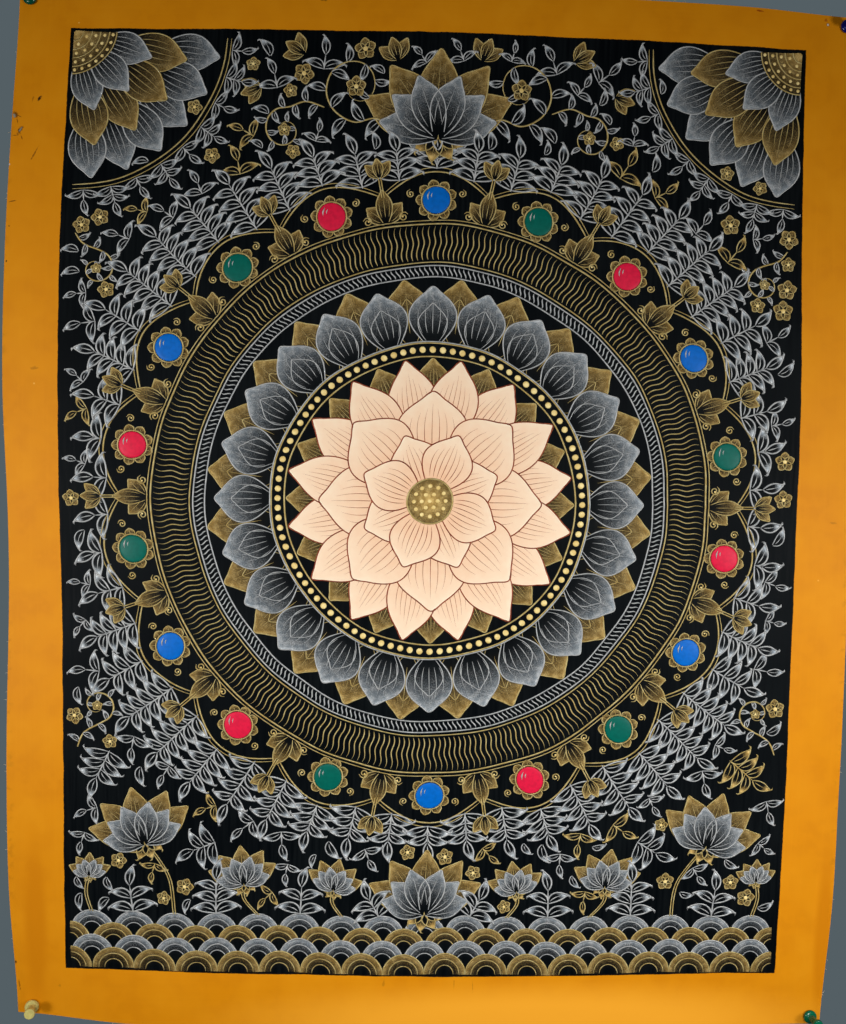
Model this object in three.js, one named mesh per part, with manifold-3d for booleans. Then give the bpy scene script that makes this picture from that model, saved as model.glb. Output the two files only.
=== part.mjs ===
// A painted thangka canvas, unmounted, with a push pin through it near each corner.
// Millimetres, +Z up. The back plane is y = 0 and the painted face looks towards -Y.
// The origin is the middle of the canvas's top edge, on the back plane.
import * as THREE from "three";
import { mergeVertices } from "three/addons/utils/BufferGeometryUtils.js";
import Module from "manifold-3d";

// Canvas: the picture and the painted border round it
const PICTURE_WIDTH = 520;
const PICTURE_HEIGHT = 672;
const SIDE_BORDER = 38;
const TOP_BORDER = 28;
const BOTTOM_BORDER = 39;
const CANVAS_WIDTH = PICTURE_WIDTH + 2 * SIDE_BORDER;
const CANVAS_HEIGHT = TOP_BORDER + PICTURE_HEIGHT + BOTTOM_BORDER;
const CANVAS_THICKNESS = 1;
const CELLS_ACROSS = 30;
const CELLS_DOWN = 38;

// How far pieces that meet stay apart
const GAP = 0.3;

// Push pins: a moulded head with a flange, a waist and a cap, and a steel needle set in it
const FLANGE_RADIUS = 4.9;
const FLANGE_RIM = 0.9;
const FLANGE_DOME = 2.3;
const WAIST_RADIUS = 2.25;
const WAIST_FOOT = 3.8;
const WAIST_TOP = 8.4;
const CAP_RADIUS = 3.8;
const CAP_FOOT = 10.4;
const HEAD_HEIGHT = 13.2;
const EDGE_ROUND = 0.7;
const HEAD_SIDES = 28;
const NEEDLE_RADIUS = 0.55;
const NEEDLE_SET_IN = 5;
const NEEDLE_OUT = 10.5;
const NEEDLE_POINT = 2.5;
const NEEDLE_SIDES = 12;

// How each edge strays outwards from a straight one, in equal steps along it.
// swell is how far the slack cloth bows out, and cut how far the hand-cut edge strays from that.
const LEFT_EDGE = [
  { swell: 0, cut: -1.8 },
  { swell: 3.7, cut: -0.8 },
  { swell: 6.8, cut: -0.1 },
  { swell: 7.5, cut: 0.4 },
  { swell: 6.4, cut: -1.9 },
  { swell: 4.0, cut: 0.1 },
  { swell: 2.0, cut: 2.3 },
  { swell: 1.5, cut: 1.6 },
  { swell: -0.4, cut: -3.0 },
];
const RIGHT_EDGE = [
  { swell: 0, cut: 0.3 },
  { swell: 0.2, cut: 0.9 },
  { swell: 1.3, cut: 1.3 },
  { swell: 3.6, cut: 0.9 },
  { swell: 3.4, cut: 1.1 },
  { swell: 3.8, cut: 1.4 },
  { swell: 4.4, cut: 1.0 },
  { swell: 2.3, cut: 1.6 },
  { swell: -0.4, cut: -2.2 },
];
const TOP_EDGE = [
  { swell: 0, cut: -0.6 },
  { swell: 0.4, cut: 0.3 },
  { swell: 1.9, cut: 0.6 },
  { swell: 2.4, cut: 0.2 },
  { swell: 3.4, cut: 0.5 },
  { swell: 2.5, cut: 0.3 },
  { swell: 2.1, cut: 0 },
  { swell: 0.9, cut: -0.4 },
  { swell: -0.3, cut: -4.0 },
];
const BOTTOM_EDGE = [
  { swell: 0, cut: -5.6 },
  { swell: 0.7, cut: 0.8 },
  { swell: 1.5, cut: 1.2 },
  { swell: 1.5, cut: 0.8 },
  { swell: 2.0, cut: 1.4 },
  { swell: 1.4, cut: 0.9 },
  { swell: 0.6, cut: 1.2 },
  { swell: -0.5, cut: 0.6 },
  { swell: 0, cut: -1.5 },
];

// Soft swells and troughs of the slack cloth: the middle of each, its half sizes, its lean in
// degrees, and how far it stands off the back plane. A trough has a negative rise.
const FOLDS = [
  { across: 0, up: -350, halfWidth: 250, halfLength: 300, lean: 0, rise: 7 },
  { across: -262, up: -230, halfWidth: 70, halfLength: 170, lean: 0, rise: 4 },
  { across: -285, up: -425, halfWidth: 60, halfLength: 55, lean: 0, rise: -2 },
  { across: -270, up: -560, halfWidth: 60, halfLength: 90, lean: 0, rise: 3 },
  { across: 262, up: -300, halfWidth: 70, halfLength: 190, lean: 0, rise: 4 },
  { across: 282, up: -610, halfWidth: 22, halfLength: 130, lean: 8, rise: -3 },
  { across: 40, up: -20, halfWidth: 180, halfLength: 50, lean: 0, rise: 3 },
  { across: -20, up: -715, halfWidth: 210, halfLength: 55, lean: 0, rise: 4.5 },
];

// How far from a pin the cloth is still drawn to the back plane
const PIN_HOLD = 70;

const GREEN = 0x0c7a56;
const BLUE = 0x10206e;
const IVORY = 0xc9c07a;
const OCHRE = 0xe09118;
const STEEL = 0xb9bcc0;

// Where each pin goes through the canvas, and how its head leans, in degrees
const PINS = [
  { name: "top_left", across: -289, up: -8.5, right: 2, raised: 3, colour: GREEN },
  { name: "top_right", across: 289, up: -10.5, right: -3, raised: 2, colour: BLUE },
  { name: "bottom_left", across: -284.8, up: -728.5, right: 14, raised: 6, colour: IVORY },
  { name: "bottom_right", across: 288, up: -732, right: 4, raised: 2, colour: GREEN },
];

const wasm = await Module();
wasm.setup();

// A closed geometry as a manifold-3d solid.
function toSolid(geometry) {
  const bare = geometry.clone();
  bare.deleteAttribute("normal");
  bare.deleteAttribute("uv");
  const merged = mergeVertices(bare, 1e-4);
  return new wasm.Manifold(
    new wasm.Mesh({
      numProp: 3,
      vertProperties: new Float32Array(merged.attributes.position.array),
      triVerts: new Uint32Array(merged.index.array),
    }),
  );
}

// A manifold-3d solid as a geometry.
function toGeometry(solid) {
  const mesh = solid.getMesh();
  const geometry = new THREE.BufferGeometry();
  geometry.setAttribute("position", new THREE.BufferAttribute(new Float32Array(mesh.vertProperties), 3));
  geometry.setIndex(new THREE.BufferAttribute(new Uint32Array(mesh.triVerts), 1));
  geometry.computeVertexNormals();
  return geometry;
}

// One column of an edge's table at a share of the way along it, on a smooth curve through the rows.
function along(edge, column, share) {
  const place = THREE.MathUtils.clamp(share, 0, 1) * (edge.length - 1);
  const row = Math.min(Math.floor(place), edge.length - 2);
  const t = place - row;
  const value = (i) => edge[THREE.MathUtils.clamp(i, 0, edge.length - 1)][column];
  const [before, from, to, after] = [row - 1, row, row + 1, row + 2].map(value);
  const bend = (2 * before - 5 * from + 4 * to - after) * t * t;
  const swing = (3 * from - before - 3 * to + after) * t * t * t;
  return 0.5 * (2 * from + (to - before) * t + bend + swing);
}

// How far the middle of the cloth stands off the back plane at a place on the flat canvas.
function standOff(across, up) {
  let rise = 0;
  for (const fold of FOLDS) {
    const lean = THREE.MathUtils.degToRad(fold.lean);
    const dx = across - fold.across;
    const dz = up - fold.up;
    const sideways = (dx * Math.cos(lean) + dz * Math.sin(lean)) / fold.halfWidth;
    const lengthways = (dz * Math.cos(lean) - dx * Math.sin(lean)) / fold.halfLength;
    rise += fold.rise * Math.exp(-sideways * sideways - lengthways * lengthways);
  }
  for (const pin of PINS) {
    const distance = Math.hypot(across - pin.across, up - pin.up) / PIN_HOLD;
    rise *= 1 - Math.exp(-distance * distance);
  }
  return GAP + CANVAS_THICKNESS / 2 + Math.max(rise, 0);
}

// A place on the flat canvas, as it hangs: across and up are measured from the top edge's middle.
function hang(across, up) {
  const s = across / CANVAS_WIDTH + 0.5;
  const t = -up / CANVAS_HEIGHT;
  const sideways = s * along(RIGHT_EDGE, "swell", t) - (1 - s) * along(LEFT_EDGE, "swell", t);
  const upwards = (1 - t) * along(TOP_EDGE, "swell", s) - t * along(BOTTOM_EDGE, "swell", s);
  return new THREE.Vector3(across + sideways, -standOff(across, up), up + upwards);
}

// The way the painted face looks at a place on the flat canvas.
function facing(across, up) {
  const step = 0.5;
  const acrossward = hang(across + step, up).sub(hang(across - step, up));
  const upward = hang(across, up + step).sub(hang(across, up - step));
  return acrossward.cross(upward).normalize();
}

// A grid point of the canvas, as flat sizes, with the hand-cut edges.
function cutPoint(s, t) {
  const left = -CANVAS_WIDTH / 2 - along(LEFT_EDGE, "cut", t);
  const right = CANVAS_WIDTH / 2 + along(RIGHT_EDGE, "cut", t);
  const top = along(TOP_EDGE, "cut", s);
  const bottom = -CANVAS_HEIGHT - along(BOTTOM_EDGE, "cut", s);
  return [THREE.MathUtils.lerp(left, right, s), THREE.MathUtils.lerp(top, bottom, t)];
}

// The canvas as one closed sheet: a painted face, a back, and the cut edge between them.
function canvasSheet() {
  const columns = CELLS_ACROSS + 1;
  const perFace = columns * (CELLS_DOWN + 1);
  const positions = new Float32Array(2 * perFace * 3);
  for (let j = 0; j <= CELLS_DOWN; j++) {
    for (let i = 0; i <= CELLS_ACROSS; i++) {
      const [across, up] = cutPoint(i / CELLS_ACROSS, j / CELLS_DOWN);
      const middle = hang(across, up);
      const half = facing(across, up).multiplyScalar(CANVAS_THICKNESS / 2);
      const at = j * columns + i;
      middle.clone().add(half).toArray(positions, at * 3);
      middle.clone().sub(half).toArray(positions, (perFace + at) * 3);
    }
  }
  const triangles = [];
  const addQuad = (a, b, c, d) => triangles.push(a, b, c, a, c, d);
  for (let j = 0; j < CELLS_DOWN; j++) {
    for (let i = 0; i < CELLS_ACROSS; i++) {
      const a = j * columns + i;
      const [b, c, d] = [a + columns, a + columns + 1, a + 1];
      addQuad(a, b, c, d);
      addQuad(perFace + a, perFace + d, perFace + c, perFace + b);
    }
  }
  const rim = [];
  for (let i = 0; i < CELLS_ACROSS; i++) rim.push(i);
  for (let j = 0; j < CELLS_DOWN; j++) rim.push(j * columns + CELLS_ACROSS);
  for (let i = CELLS_ACROSS; i > 0; i--) rim.push(CELLS_DOWN * columns + i);
  for (let j = CELLS_DOWN; j > 0; j--) rim.push(j * columns);
  rim.forEach((from, k) => {
    const to = rim[(k + 1) % rim.length];
    addQuad(from, to, perFace + to, perFace + from);
  });
  const sheet = new THREE.BufferGeometry();
  sheet.setAttribute("position", new THREE.BufferAttribute(positions, 3));
  sheet.setIndex(triangles);
  return sheet;
}

// A quarter round of a lathe profile about a centre, between two angles in degrees.
function quarterRound(radius, height, from, to, size = EDGE_ROUND) {
  const steps = 3;
  return Array.from({ length: steps + 1 }, (_, k) => {
    const angle = THREE.MathUtils.degToRad(THREE.MathUtils.lerp(from, to, k / steps));
    return new THREE.Vector2(radius + size * Math.cos(angle), height + size * Math.sin(angle));
  });
}

// A push pin's head, turned about +Y with its base at y = 0 and a socket for the needle.
function pinHead() {
  const socket = NEEDLE_RADIUS + GAP;
  const profile = [
    new THREE.Vector2(0, NEEDLE_SET_IN + GAP),
    new THREE.Vector2(socket, NEEDLE_SET_IN + GAP),
    new THREE.Vector2(socket, 0),
    ...quarterRound(FLANGE_RADIUS - EDGE_ROUND, EDGE_ROUND, -90, 0),
    new THREE.Vector2(FLANGE_RADIUS - 0.2, FLANGE_RIM + 0.4),
    new THREE.Vector2(FLANGE_RADIUS * 0.78, FLANGE_DOME - 0.3),
    new THREE.Vector2(FLANGE_RADIUS * 0.6, FLANGE_DOME + 0.3),
    new THREE.Vector2(WAIST_RADIUS, WAIST_FOOT),
    new THREE.Vector2(WAIST_RADIUS, WAIST_TOP),
    new THREE.Vector2(CAP_RADIUS * 0.8, CAP_FOOT - 0.7),
    new THREE.Vector2(CAP_RADIUS, CAP_FOOT + 0.3),
    ...quarterRound(CAP_RADIUS - EDGE_ROUND, HEAD_HEIGHT - EDGE_ROUND, 0, 90),
    new THREE.Vector2(0, HEAD_HEIGHT),
  ];
  return new THREE.LatheGeometry(profile, HEAD_SIDES);
}

// A push pin's needle, turned about +Y, from its point to its end inside the head.
function pinNeedle() {
  const profile = [
    new THREE.Vector2(0, -NEEDLE_OUT),
    new THREE.Vector2(NEEDLE_RADIUS, NEEDLE_POINT - NEEDLE_OUT),
    new THREE.Vector2(NEEDLE_RADIUS, NEEDLE_SET_IN),
    new THREE.Vector2(0, NEEDLE_SET_IN),
  ];
  return new THREE.LatheGeometry(profile, NEEDLE_SIDES);
}

// A pin's place: its group stands on the painted face, with +Y along the pin towards its cap.
function pinGroup(pin) {
  const group = new THREE.Group();
  const right = THREE.MathUtils.degToRad(pin.right);
  const raised = THREE.MathUtils.degToRad(pin.raised);
  const outward = new THREE.Vector3(Math.sin(right), -1, Math.sin(raised)).normalize();
  const lean = Math.acos(-outward.y);
  const clear = CANVAS_THICKNESS / 2 + GAP + FLANGE_RADIUS * Math.sin(lean);
  const foot = hang(pin.across, pin.up);
  group.position.copy(foot).addScaledVector(outward, clear);
  group.quaternion.setFromUnitVectors(new THREE.Vector3(0, 1, 0), outward);
  return group;
}

// The hole that a pin's needle makes through the canvas.
function pinHole(group) {
  const reach = 8;
  const hole = new THREE.CylinderGeometry(
    NEEDLE_RADIUS + GAP,
    NEEDLE_RADIUS + GAP,
    2 * reach,
    NEEDLE_SIDES,
  );
  group.updateMatrix();
  return hole.applyMatrix4(group.matrix);
}

const thangka = new THREE.Group();
let canvas = toSolid(canvasSheet());

for (const pin of PINS) {
  const group = pinGroup(pin);
  const plastic = new THREE.MeshStandardMaterial({ color: pin.colour, roughness: 0.3, metalness: 0 });
  const head = new THREE.Mesh(pinHead(), plastic);
  head.name = `pin_head_${pin.name}`;
  const steel = new THREE.MeshStandardMaterial({ color: STEEL, roughness: 0.3, metalness: 1 });
  const needle = new THREE.Mesh(pinNeedle(), steel);
  needle.name = `pin_needle_${pin.name}`;
  group.add(head, needle);
  thangka.add(group);
  canvas = canvas.subtract(toSolid(pinHole(group)));
}

const paint = new THREE.MeshStandardMaterial({ color: OCHRE, roughness: 0.7, metalness: 0 });
const sheet = new THREE.Mesh(toGeometry(canvas), paint);
sheet.name = "painted_canvas";
thangka.add(sheet);

export default thangka;
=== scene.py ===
import math

import bpy
import numpy as np
from mathutils import Matrix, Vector
from mathutils.kdtree import KDTree


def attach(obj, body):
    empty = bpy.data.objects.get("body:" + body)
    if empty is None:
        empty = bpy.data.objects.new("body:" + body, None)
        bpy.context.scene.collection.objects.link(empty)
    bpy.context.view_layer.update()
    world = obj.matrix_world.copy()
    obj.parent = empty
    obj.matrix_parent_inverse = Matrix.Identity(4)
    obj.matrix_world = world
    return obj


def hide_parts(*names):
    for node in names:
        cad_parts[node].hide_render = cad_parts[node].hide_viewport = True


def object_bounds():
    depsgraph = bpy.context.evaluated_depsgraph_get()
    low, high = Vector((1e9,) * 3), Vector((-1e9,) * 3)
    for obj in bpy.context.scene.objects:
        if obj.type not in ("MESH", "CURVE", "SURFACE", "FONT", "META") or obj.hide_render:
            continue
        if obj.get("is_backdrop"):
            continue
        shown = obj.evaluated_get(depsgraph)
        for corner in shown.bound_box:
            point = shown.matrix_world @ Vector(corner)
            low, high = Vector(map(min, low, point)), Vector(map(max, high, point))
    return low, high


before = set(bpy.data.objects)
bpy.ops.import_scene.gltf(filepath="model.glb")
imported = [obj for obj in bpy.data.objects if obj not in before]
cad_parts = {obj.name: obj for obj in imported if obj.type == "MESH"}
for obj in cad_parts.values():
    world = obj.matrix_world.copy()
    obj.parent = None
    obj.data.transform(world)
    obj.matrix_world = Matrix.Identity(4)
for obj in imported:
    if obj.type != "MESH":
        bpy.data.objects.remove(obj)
cad_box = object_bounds()

# The canvas is one length of cotton, sized with glue and chalk, and cut by hand outside its border.
# It is painted plain ochre round a black picture ground, and its back is left raw.
# A pin near each corner holds it up, so the slack cloth between the pins bows and swells.
MM = 0.001
PICTURE_WIDTH = 520
PICTURE_HEIGHT = 672
SIDE_BORDER = 38
TOP_BORDER = 28
BOTTOM_BORDER = 39
CANVAS_WIDTH = PICTURE_WIDTH + 2 * SIDE_BORDER
CANVAS_HEIGHT = TOP_BORDER + PICTURE_HEIGHT + BOTTOM_BORDER
CANVAS_THICKNESS = 1.0
THREAD_PITCH = 0.7
BACK_GAP = 0.3
CELLS_ACROSS = 96
CELLS_DOWN = 120
SHARP_EDGE = 50
# How the surface is laid out for a bake: the face fills most of a square, then the cut edge, then the back.
SPREAD_FROM = np.array([-306, -746])
SPREAD_SIZE = np.array([612, 752])
SPREAD_MARGIN = np.array([0.002, 0.01])
FACE_SHARE = np.array([0.78, 0.98])
EDGE_START = np.array([0.79, 0])
EDGE_SHARE = np.array([0.01, 0.98])
BACK_START = np.array([0.82, 0])
BACK_SHARE = np.array([0.17, 0.98])
# How each edge strays outwards, in equal steps along it: swell by slack cloth, cut by the scissors.
EDGES = {
    "left": {
        "swell": [0, 3.7, 6.8, 7.5, 6.4, 4.0, 2.0, 1.5, -0.4],
        "cut": [-1.8, -0.8, -0.1, 0.4, -1.9, 0.1, 2.3, 1.6, -3.0],
    },
    "right": {
        "swell": [0, 0.2, 1.3, 3.6, 3.4, 3.8, 4.4, 2.3, -0.4],
        "cut": [0.3, 0.9, 1.3, 0.9, 1.1, 1.4, 1.0, 1.6, -2.2],
    },
    "top": {
        "swell": [0, 0.4, 1.9, 2.4, 3.4, 2.5, 2.1, 0.9, -0.3],
        "cut": [-0.6, 0.3, 0.6, 0.2, 0.5, 0.3, 0, -0.4, -4.0],
    },
    "bottom": {
        "swell": [0, 0.7, 1.5, 1.5, 2.0, 1.4, 0.6, -0.5, 0],
        "cut": [-5.6, 0.8, 1.2, 0.8, 1.4, 0.9, 1.2, 0.6, -1.5],
    },
}
FOLDS = [
    dict(across=0, up=-350, half_width=250, half_length=300, lean=0, rise=7.0),
    dict(across=-262, up=-230, half_width=70, half_length=170, lean=0, rise=4.0),
    dict(across=-285, up=-425, half_width=60, half_length=55, lean=0, rise=-2.0),
    dict(across=-270, up=-560, half_width=60, half_length=90, lean=0, rise=3.0),
    dict(across=262, up=-300, half_width=70, half_length=190, lean=0, rise=4.0),
    dict(across=282, up=-610, half_width=22, half_length=130, lean=8, rise=-3.0),
    dict(across=40, up=-20, half_width=180, half_length=50, lean=0, rise=3.0),
    dict(across=-20, up=-715, half_width=210, half_length=55, lean=0, rise=4.5),
]
# A pin draws the cloth back within this radius. Its head leans to the right and is raised by degrees.
PIN_HOLD = 70
PINS = [
    dict(name="top_left", across=-289, up=-8.5, right=2, raised=3),
    dict(name="top_right", across=289, up=-10.5, right=-3, raised=2),
    dict(name="bottom_left", across=-284.8, up=-728.5, right=14, raised=6),
    dict(name="bottom_right", across=288, up=-732, right=4, raised=2),
]


def along(rows, share):
    """Values on a smooth curve through evenly spaced rows, at shares of the way along it."""
    rows = np.asarray(rows)
    last = len(rows) - 1
    place = np.clip(share, 0, 1) * last
    row = np.minimum(place.astype(int), last - 1)
    t = place - row
    before, start, end, after = (rows[np.clip(row + k, 0, last)] for k in (-1, 0, 1, 2))
    bend = (2 * before - 5 * start + 4 * end - after) * t**2
    swing = (3 * start - before - 3 * end + after) * t**3
    return 0.5 * (2 * start + (end - before) * t + bend + swing)


def stand_off(across, up):
    """How far the middle of the cloth stands off the back plane, in millimetres."""
    rise = np.zeros_like(across)
    for fold in FOLDS:
        lean = math.radians(fold["lean"])
        dx = across - fold["across"]
        dz = up - fold["up"]
        sideways = (dx * math.cos(lean) + dz * math.sin(lean)) / fold["half_width"]
        lengthways = (dz * math.cos(lean) - dx * math.sin(lean)) / fold["half_length"]
        rise = rise + fold["rise"] * np.exp(-(sideways**2) - lengthways**2)
    for pin in PINS:
        distance = np.hypot(across - pin["across"], up - pin["up"]) / PIN_HOLD
        rise = rise * (1 - np.exp(-(distance**2)))
    return BACK_GAP + CANVAS_THICKNESS / 2 + np.maximum(rise, 0)


def middle_of_cloth(across, up):
    """Where a place on the flat canvas hangs, in millimetres, halfway through the cloth."""
    s = across / CANVAS_WIDTH + 0.5
    t = -up / CANVAS_HEIGHT
    left, right = (along(EDGES[side]["swell"], t) for side in ("left", "right"))
    top, bottom = (along(EDGES[side]["swell"], s) for side in ("top", "bottom"))
    sideways = s * right - (1 - s) * left
    upwards = (1 - t) * top - t * bottom
    return np.stack([across + sideways, -stand_off(across, up), up + upwards], axis=-1)


def hang(across, up, lift):
    """Places in metres on the hung cloth, lifted off its painted face by millimetres."""
    step = 0.5
    acrossward = middle_of_cloth(across + step, up) - middle_of_cloth(across - step, up)
    upward = middle_of_cloth(across, up + step) - middle_of_cloth(across, up - step)
    facing = np.cross(acrossward, upward)
    facing /= np.linalg.norm(facing, axis=-1, keepdims=True)
    height = CANVAS_THICKNESS / 2 + lift
    return MM * (middle_of_cloth(across, up) + facing * height[..., None])


def cut_line(side, share):
    """How far across or up the flat canvas a cut edge runs, at shares of the way along it."""
    if side in ("left", "right"):
        straight = CANVAS_WIDTH / 2
    else:
        straight = 0 if side == "top" else CANVAS_HEIGHT
    outward = 1 if side in ("right", "top") else -1
    return outward * (straight + along(EDGES[side]["cut"], share))


def add_uv(mesh, name, places):
    """A UV map that gives each face corner the place of its own row."""
    layer = mesh.uv_layers.new(name=name)
    layer.data.foreach_set("uv", np.ascontiguousarray(places, dtype=np.float32).ravel())


def corner_points(mesh):
    """The point number of each face corner."""
    numbers = np.empty(len(mesh.loops), dtype=np.int32)
    mesh.loops.foreach_get("vertex_index", numbers)
    return numbers


def grid_quads(number):
    """The four corners of each cell in a grid of point numbers."""
    corners = [number[:-1, :-1], number[1:, :-1], number[1:, 1:], number[:-1, 1:]]
    return np.stack(corners, axis=-1).reshape(-1, 4)


def show(name, data):
    """An object for a finished mesh, a lamp or a camera, at the origin."""
    piece = bpy.data.objects.new(name, data)
    bpy.context.collection.objects.link(piece)
    return piece


def make_canvas():
    """The sheet: a painted face, a back, and the cut edge between them."""
    columns = CELLS_ACROSS + 1
    per_face = columns * (CELLS_DOWN + 1)
    shares = np.linspace(0, 1, CELLS_DOWN + 1), np.linspace(0, 1, columns)
    t, s = np.meshgrid(*shares, indexing="ij")
    left, right = cut_line("left", t), cut_line("right", t)
    top, bottom = cut_line("top", s), cut_line("bottom", s)
    across = (left + (right - left) * s).ravel()
    up = (top + (bottom - top) * t).ravel()
    face = hang(across, up, np.zeros_like(up))
    back = hang(across, up, np.full_like(up, -CANVAS_THICKNESS))
    number = np.arange(per_face).reshape(CELLS_DOWN + 1, columns)
    quads = grid_quads(number)
    rim = np.concatenate([number[0, :-1], number[:-1, -1], number[-1, :0:-1], number[:0:-1, 0]])
    after = np.roll(rim, -1)
    edge = np.stack([rim, after, after + per_face, rim + per_face], axis=-1)
    faces = np.concatenate([quads, quads[:, ::-1] + per_face, edge])
    mesh = bpy.data.meshes.new("canvas")
    mesh.from_pydata(np.concatenate([face, back]), [], faces.tolist())
    order = np.arange(len(faces))
    mesh.polygons.foreach_set("use_smooth", order < 2 * len(quads))
    mesh.polygons.foreach_set("material_index", (order >= len(quads)).astype(np.int32))
    mesh.set_sharp_from_angle(angle=math.radians(SHARP_EDGE))
    corner = corner_points(mesh)
    places = np.stack([np.tile(across, 2), np.tile(up, 2)], axis=-1)[corner]
    add_uv(mesh, "Flat", places)
    spread = (places - SPREAD_FROM) / SPREAD_SIZE
    bake = spread * FACE_SHARE
    bake[quads.size :] = BACK_START + spread[quads.size :] * BACK_SHARE
    walk = np.repeat(np.arange(len(rim)), 4) + np.tile([0, 1, 1, 0], len(rim))
    through = np.tile([0, 0, 1, 1], len(rim))
    bake[2 * quads.size :] = EDGE_START + np.stack([through, walk / len(rim)], axis=-1) * EDGE_SHARE
    add_uv(mesh, "OFBake", bake + SPREAD_MARGIN)
    return show("canvas", mesh)


def set_inputs(tree, node, inputs):
    """Gives a node's inputs their values or links."""
    for name, value in inputs.items():
        if isinstance(value, bpy.types.NodeSocket):
            tree.links.new(value, node.inputs[name])
        else:
            node.inputs[name].default_value = value


def add_node(tree, kind, inputs=None, **settings):
    """A node of a tree, with its settings, and with values or links for its inputs."""
    node = tree.nodes.new(kind)
    for name, value in settings.items():
        setattr(node, name, value)
    set_inputs(tree, node, inputs or {})
    return node


def colour(red, green, blue):
    """A colour given as 0 to 255 on a screen, as the light that a shader takes."""
    parts = np.array([red, green, blue]) / 255
    light = np.where(parts <= 0.04045, parts / 12.92, ((parts + 0.055) / 1.055) ** 2.4)
    return (*light.tolist(), 1.0)


def maths(tree, operation, first, second=0.0, clamp=False):
    """One step of sums in a shader, such as MULTIPLY or MINIMUM."""
    inputs = {0: first, 1: second}
    return add_node(tree, "ShaderNodeMath", inputs, operation=operation, use_clamp=clamp).outputs[0]


def blend(tree, share, first, second):
    """The colour that is a share of the way from the first to the second."""
    inputs = {0: share, 6: first, 7: second}
    return add_node(tree, "ShaderNodeMix", inputs, data_type="RGBA").outputs[2]


def ramp(tree, value, low, high, bottom=0.0, top=1.0):
    """A soft step: bottom below low, top above high."""
    inputs = {"Value": value, "From Min": low, "From Max": high, "To Min": bottom, "To Max": top}
    return add_node(tree, "ShaderNodeMapRange", inputs, interpolation_type="SMOOTHSTEP").outputs[0]


def flat_place(tree):
    """The place on the flat canvas, in millimetres."""
    return add_node(tree, "ShaderNodeUVMap", uv_map="Flat").outputs[0]


def flat_parts(tree):
    """How far across and how far up the flat canvas, in millimetres."""
    return add_node(tree, "ShaderNodeSeparateXYZ", {0: flat_place(tree)}).outputs


def inside_picture(tree):
    """How far inside the picture's edge a place is, in millimetres."""
    across, up = flat_parts(tree)[:2]
    from_side = maths(tree, "SUBTRACT", PICTURE_WIDTH / 2, maths(tree, "ABSOLUTE", across))
    from_top = maths(tree, "SUBTRACT", -TOP_BORDER, up)
    from_bottom = maths(tree, "ADD", up, TOP_BORDER + PICTURE_HEIGHT)
    return maths(tree, "MINIMUM", from_side, maths(tree, "MINIMUM", from_top, from_bottom))


def noise(tree, pitch, stretch=(1, 1, 1), detail=2.0):
    """Even noise over the flat canvas, with lumps of about a pitch in millimetres."""
    scale = [1 / (pitch * by) for by in stretch]
    placed_at = add_node(tree, "ShaderNodeMapping", {"Vector": flat_place(tree), "Scale": scale})
    inputs = {"Vector": placed_at.outputs[0], "Scale": 1.0, "Detail": detail}
    return add_node(tree, "ShaderNodeTexNoise", inputs).outputs["Fac"]


def waver(tree, pitch, reach, detail=2.0):
    """Noise that goes as far below zero as above it."""
    centred = maths(tree, "SUBTRACT", noise(tree, pitch, detail=detail), 0.5)
    return maths(tree, "MULTIPLY", centred, reach)


def new_group(name, inputs, outputs):
    """A shader node group with named inputs and outputs, and the sockets that give its inputs."""
    tree = bpy.data.node_groups.new(name, "ShaderNodeTree")
    for label, value in inputs.items():
        socket = tree.interface.new_socket(label, in_out="INPUT", socket_type="NodeSocketFloat")
        socket.default_value = value
    for label, kind in outputs.items():
        tree.interface.new_socket(label, in_out="OUTPUT", socket_type=kind)
    return tree, tree.nodes.new("NodeGroupInput").outputs


def use_group(tree, group, inputs=None):
    """What a group puts out when it is placed in a material with its own values."""
    return add_node(tree, "ShaderNodeGroup", inputs, node_tree=group).outputs


def new_material(name):
    """A material, its tree, and the one shader in it."""
    material = bpy.data.materials.new(name)
    material.use_nodes = True
    tree = material.node_tree
    tree.nodes.clear()
    shader = add_node(tree, "ShaderNodeBsdfPrincipled")
    add_node(tree, "ShaderNodeOutputMaterial", {"Surface": shader.outputs[0]})
    return material, tree, shader


def make_weave_group():
    """Plain-woven cotton: how high its threads stand, a thread and a gap to each pitch."""
    tree, given = new_group("cotton_weave", {"Pitch": THREAD_PITCH}, {"Height": "NodeSocketFloat"})
    sway = maths(tree, "MULTIPLY", noise(tree, 9.0), 1.4)
    wave = []
    for place in flat_parts(tree)[:2]:
        moved = maths(tree, "ADD", place, sway)
        turn = maths(tree, "DIVIDE", maths(tree, "MULTIPLY", moved, math.tau), given["Pitch"])
        wave.append(maths(tree, "SINE", turn))
    crossed = maths(tree, "MULTIPLY", wave[0], wave[1])
    slubs = maths(tree, "MULTIPLY", noise(tree, 3.0, (1, 6, 1)), 0.6)
    height = maths(tree, "ADD", maths(tree, "MULTIPLY", crossed, 0.5), slubs)
    add_node(tree, "NodeGroupOutput", {"Height": height})
    return tree


def make_black_ground_group():
    """The picture's ground: lamp black in glue, laid on with a wide brush, a little uneven."""
    outputs = {"Colour": "NodeSocketColor", "Roughness": "NodeSocketFloat"}
    tree, _ = new_group("black_ground", {}, outputs)
    cloudy = noise(tree, 70.0)
    brushed = noise(tree, 2.0, (1, 26, 1))
    share = maths(tree, "MULTIPLY", cloudy, brushed)
    tone = blend(tree, ramp(tree, share, 0.1, 0.45), colour(3, 6, 9), colour(13, 17, 19))
    rough = ramp(tree, brushed, 0.3, 0.7, 0.42, 0.56)
    add_node(tree, "NodeGroupOutput", {"Colour": tone, "Roughness": rough})
    return tree


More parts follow.
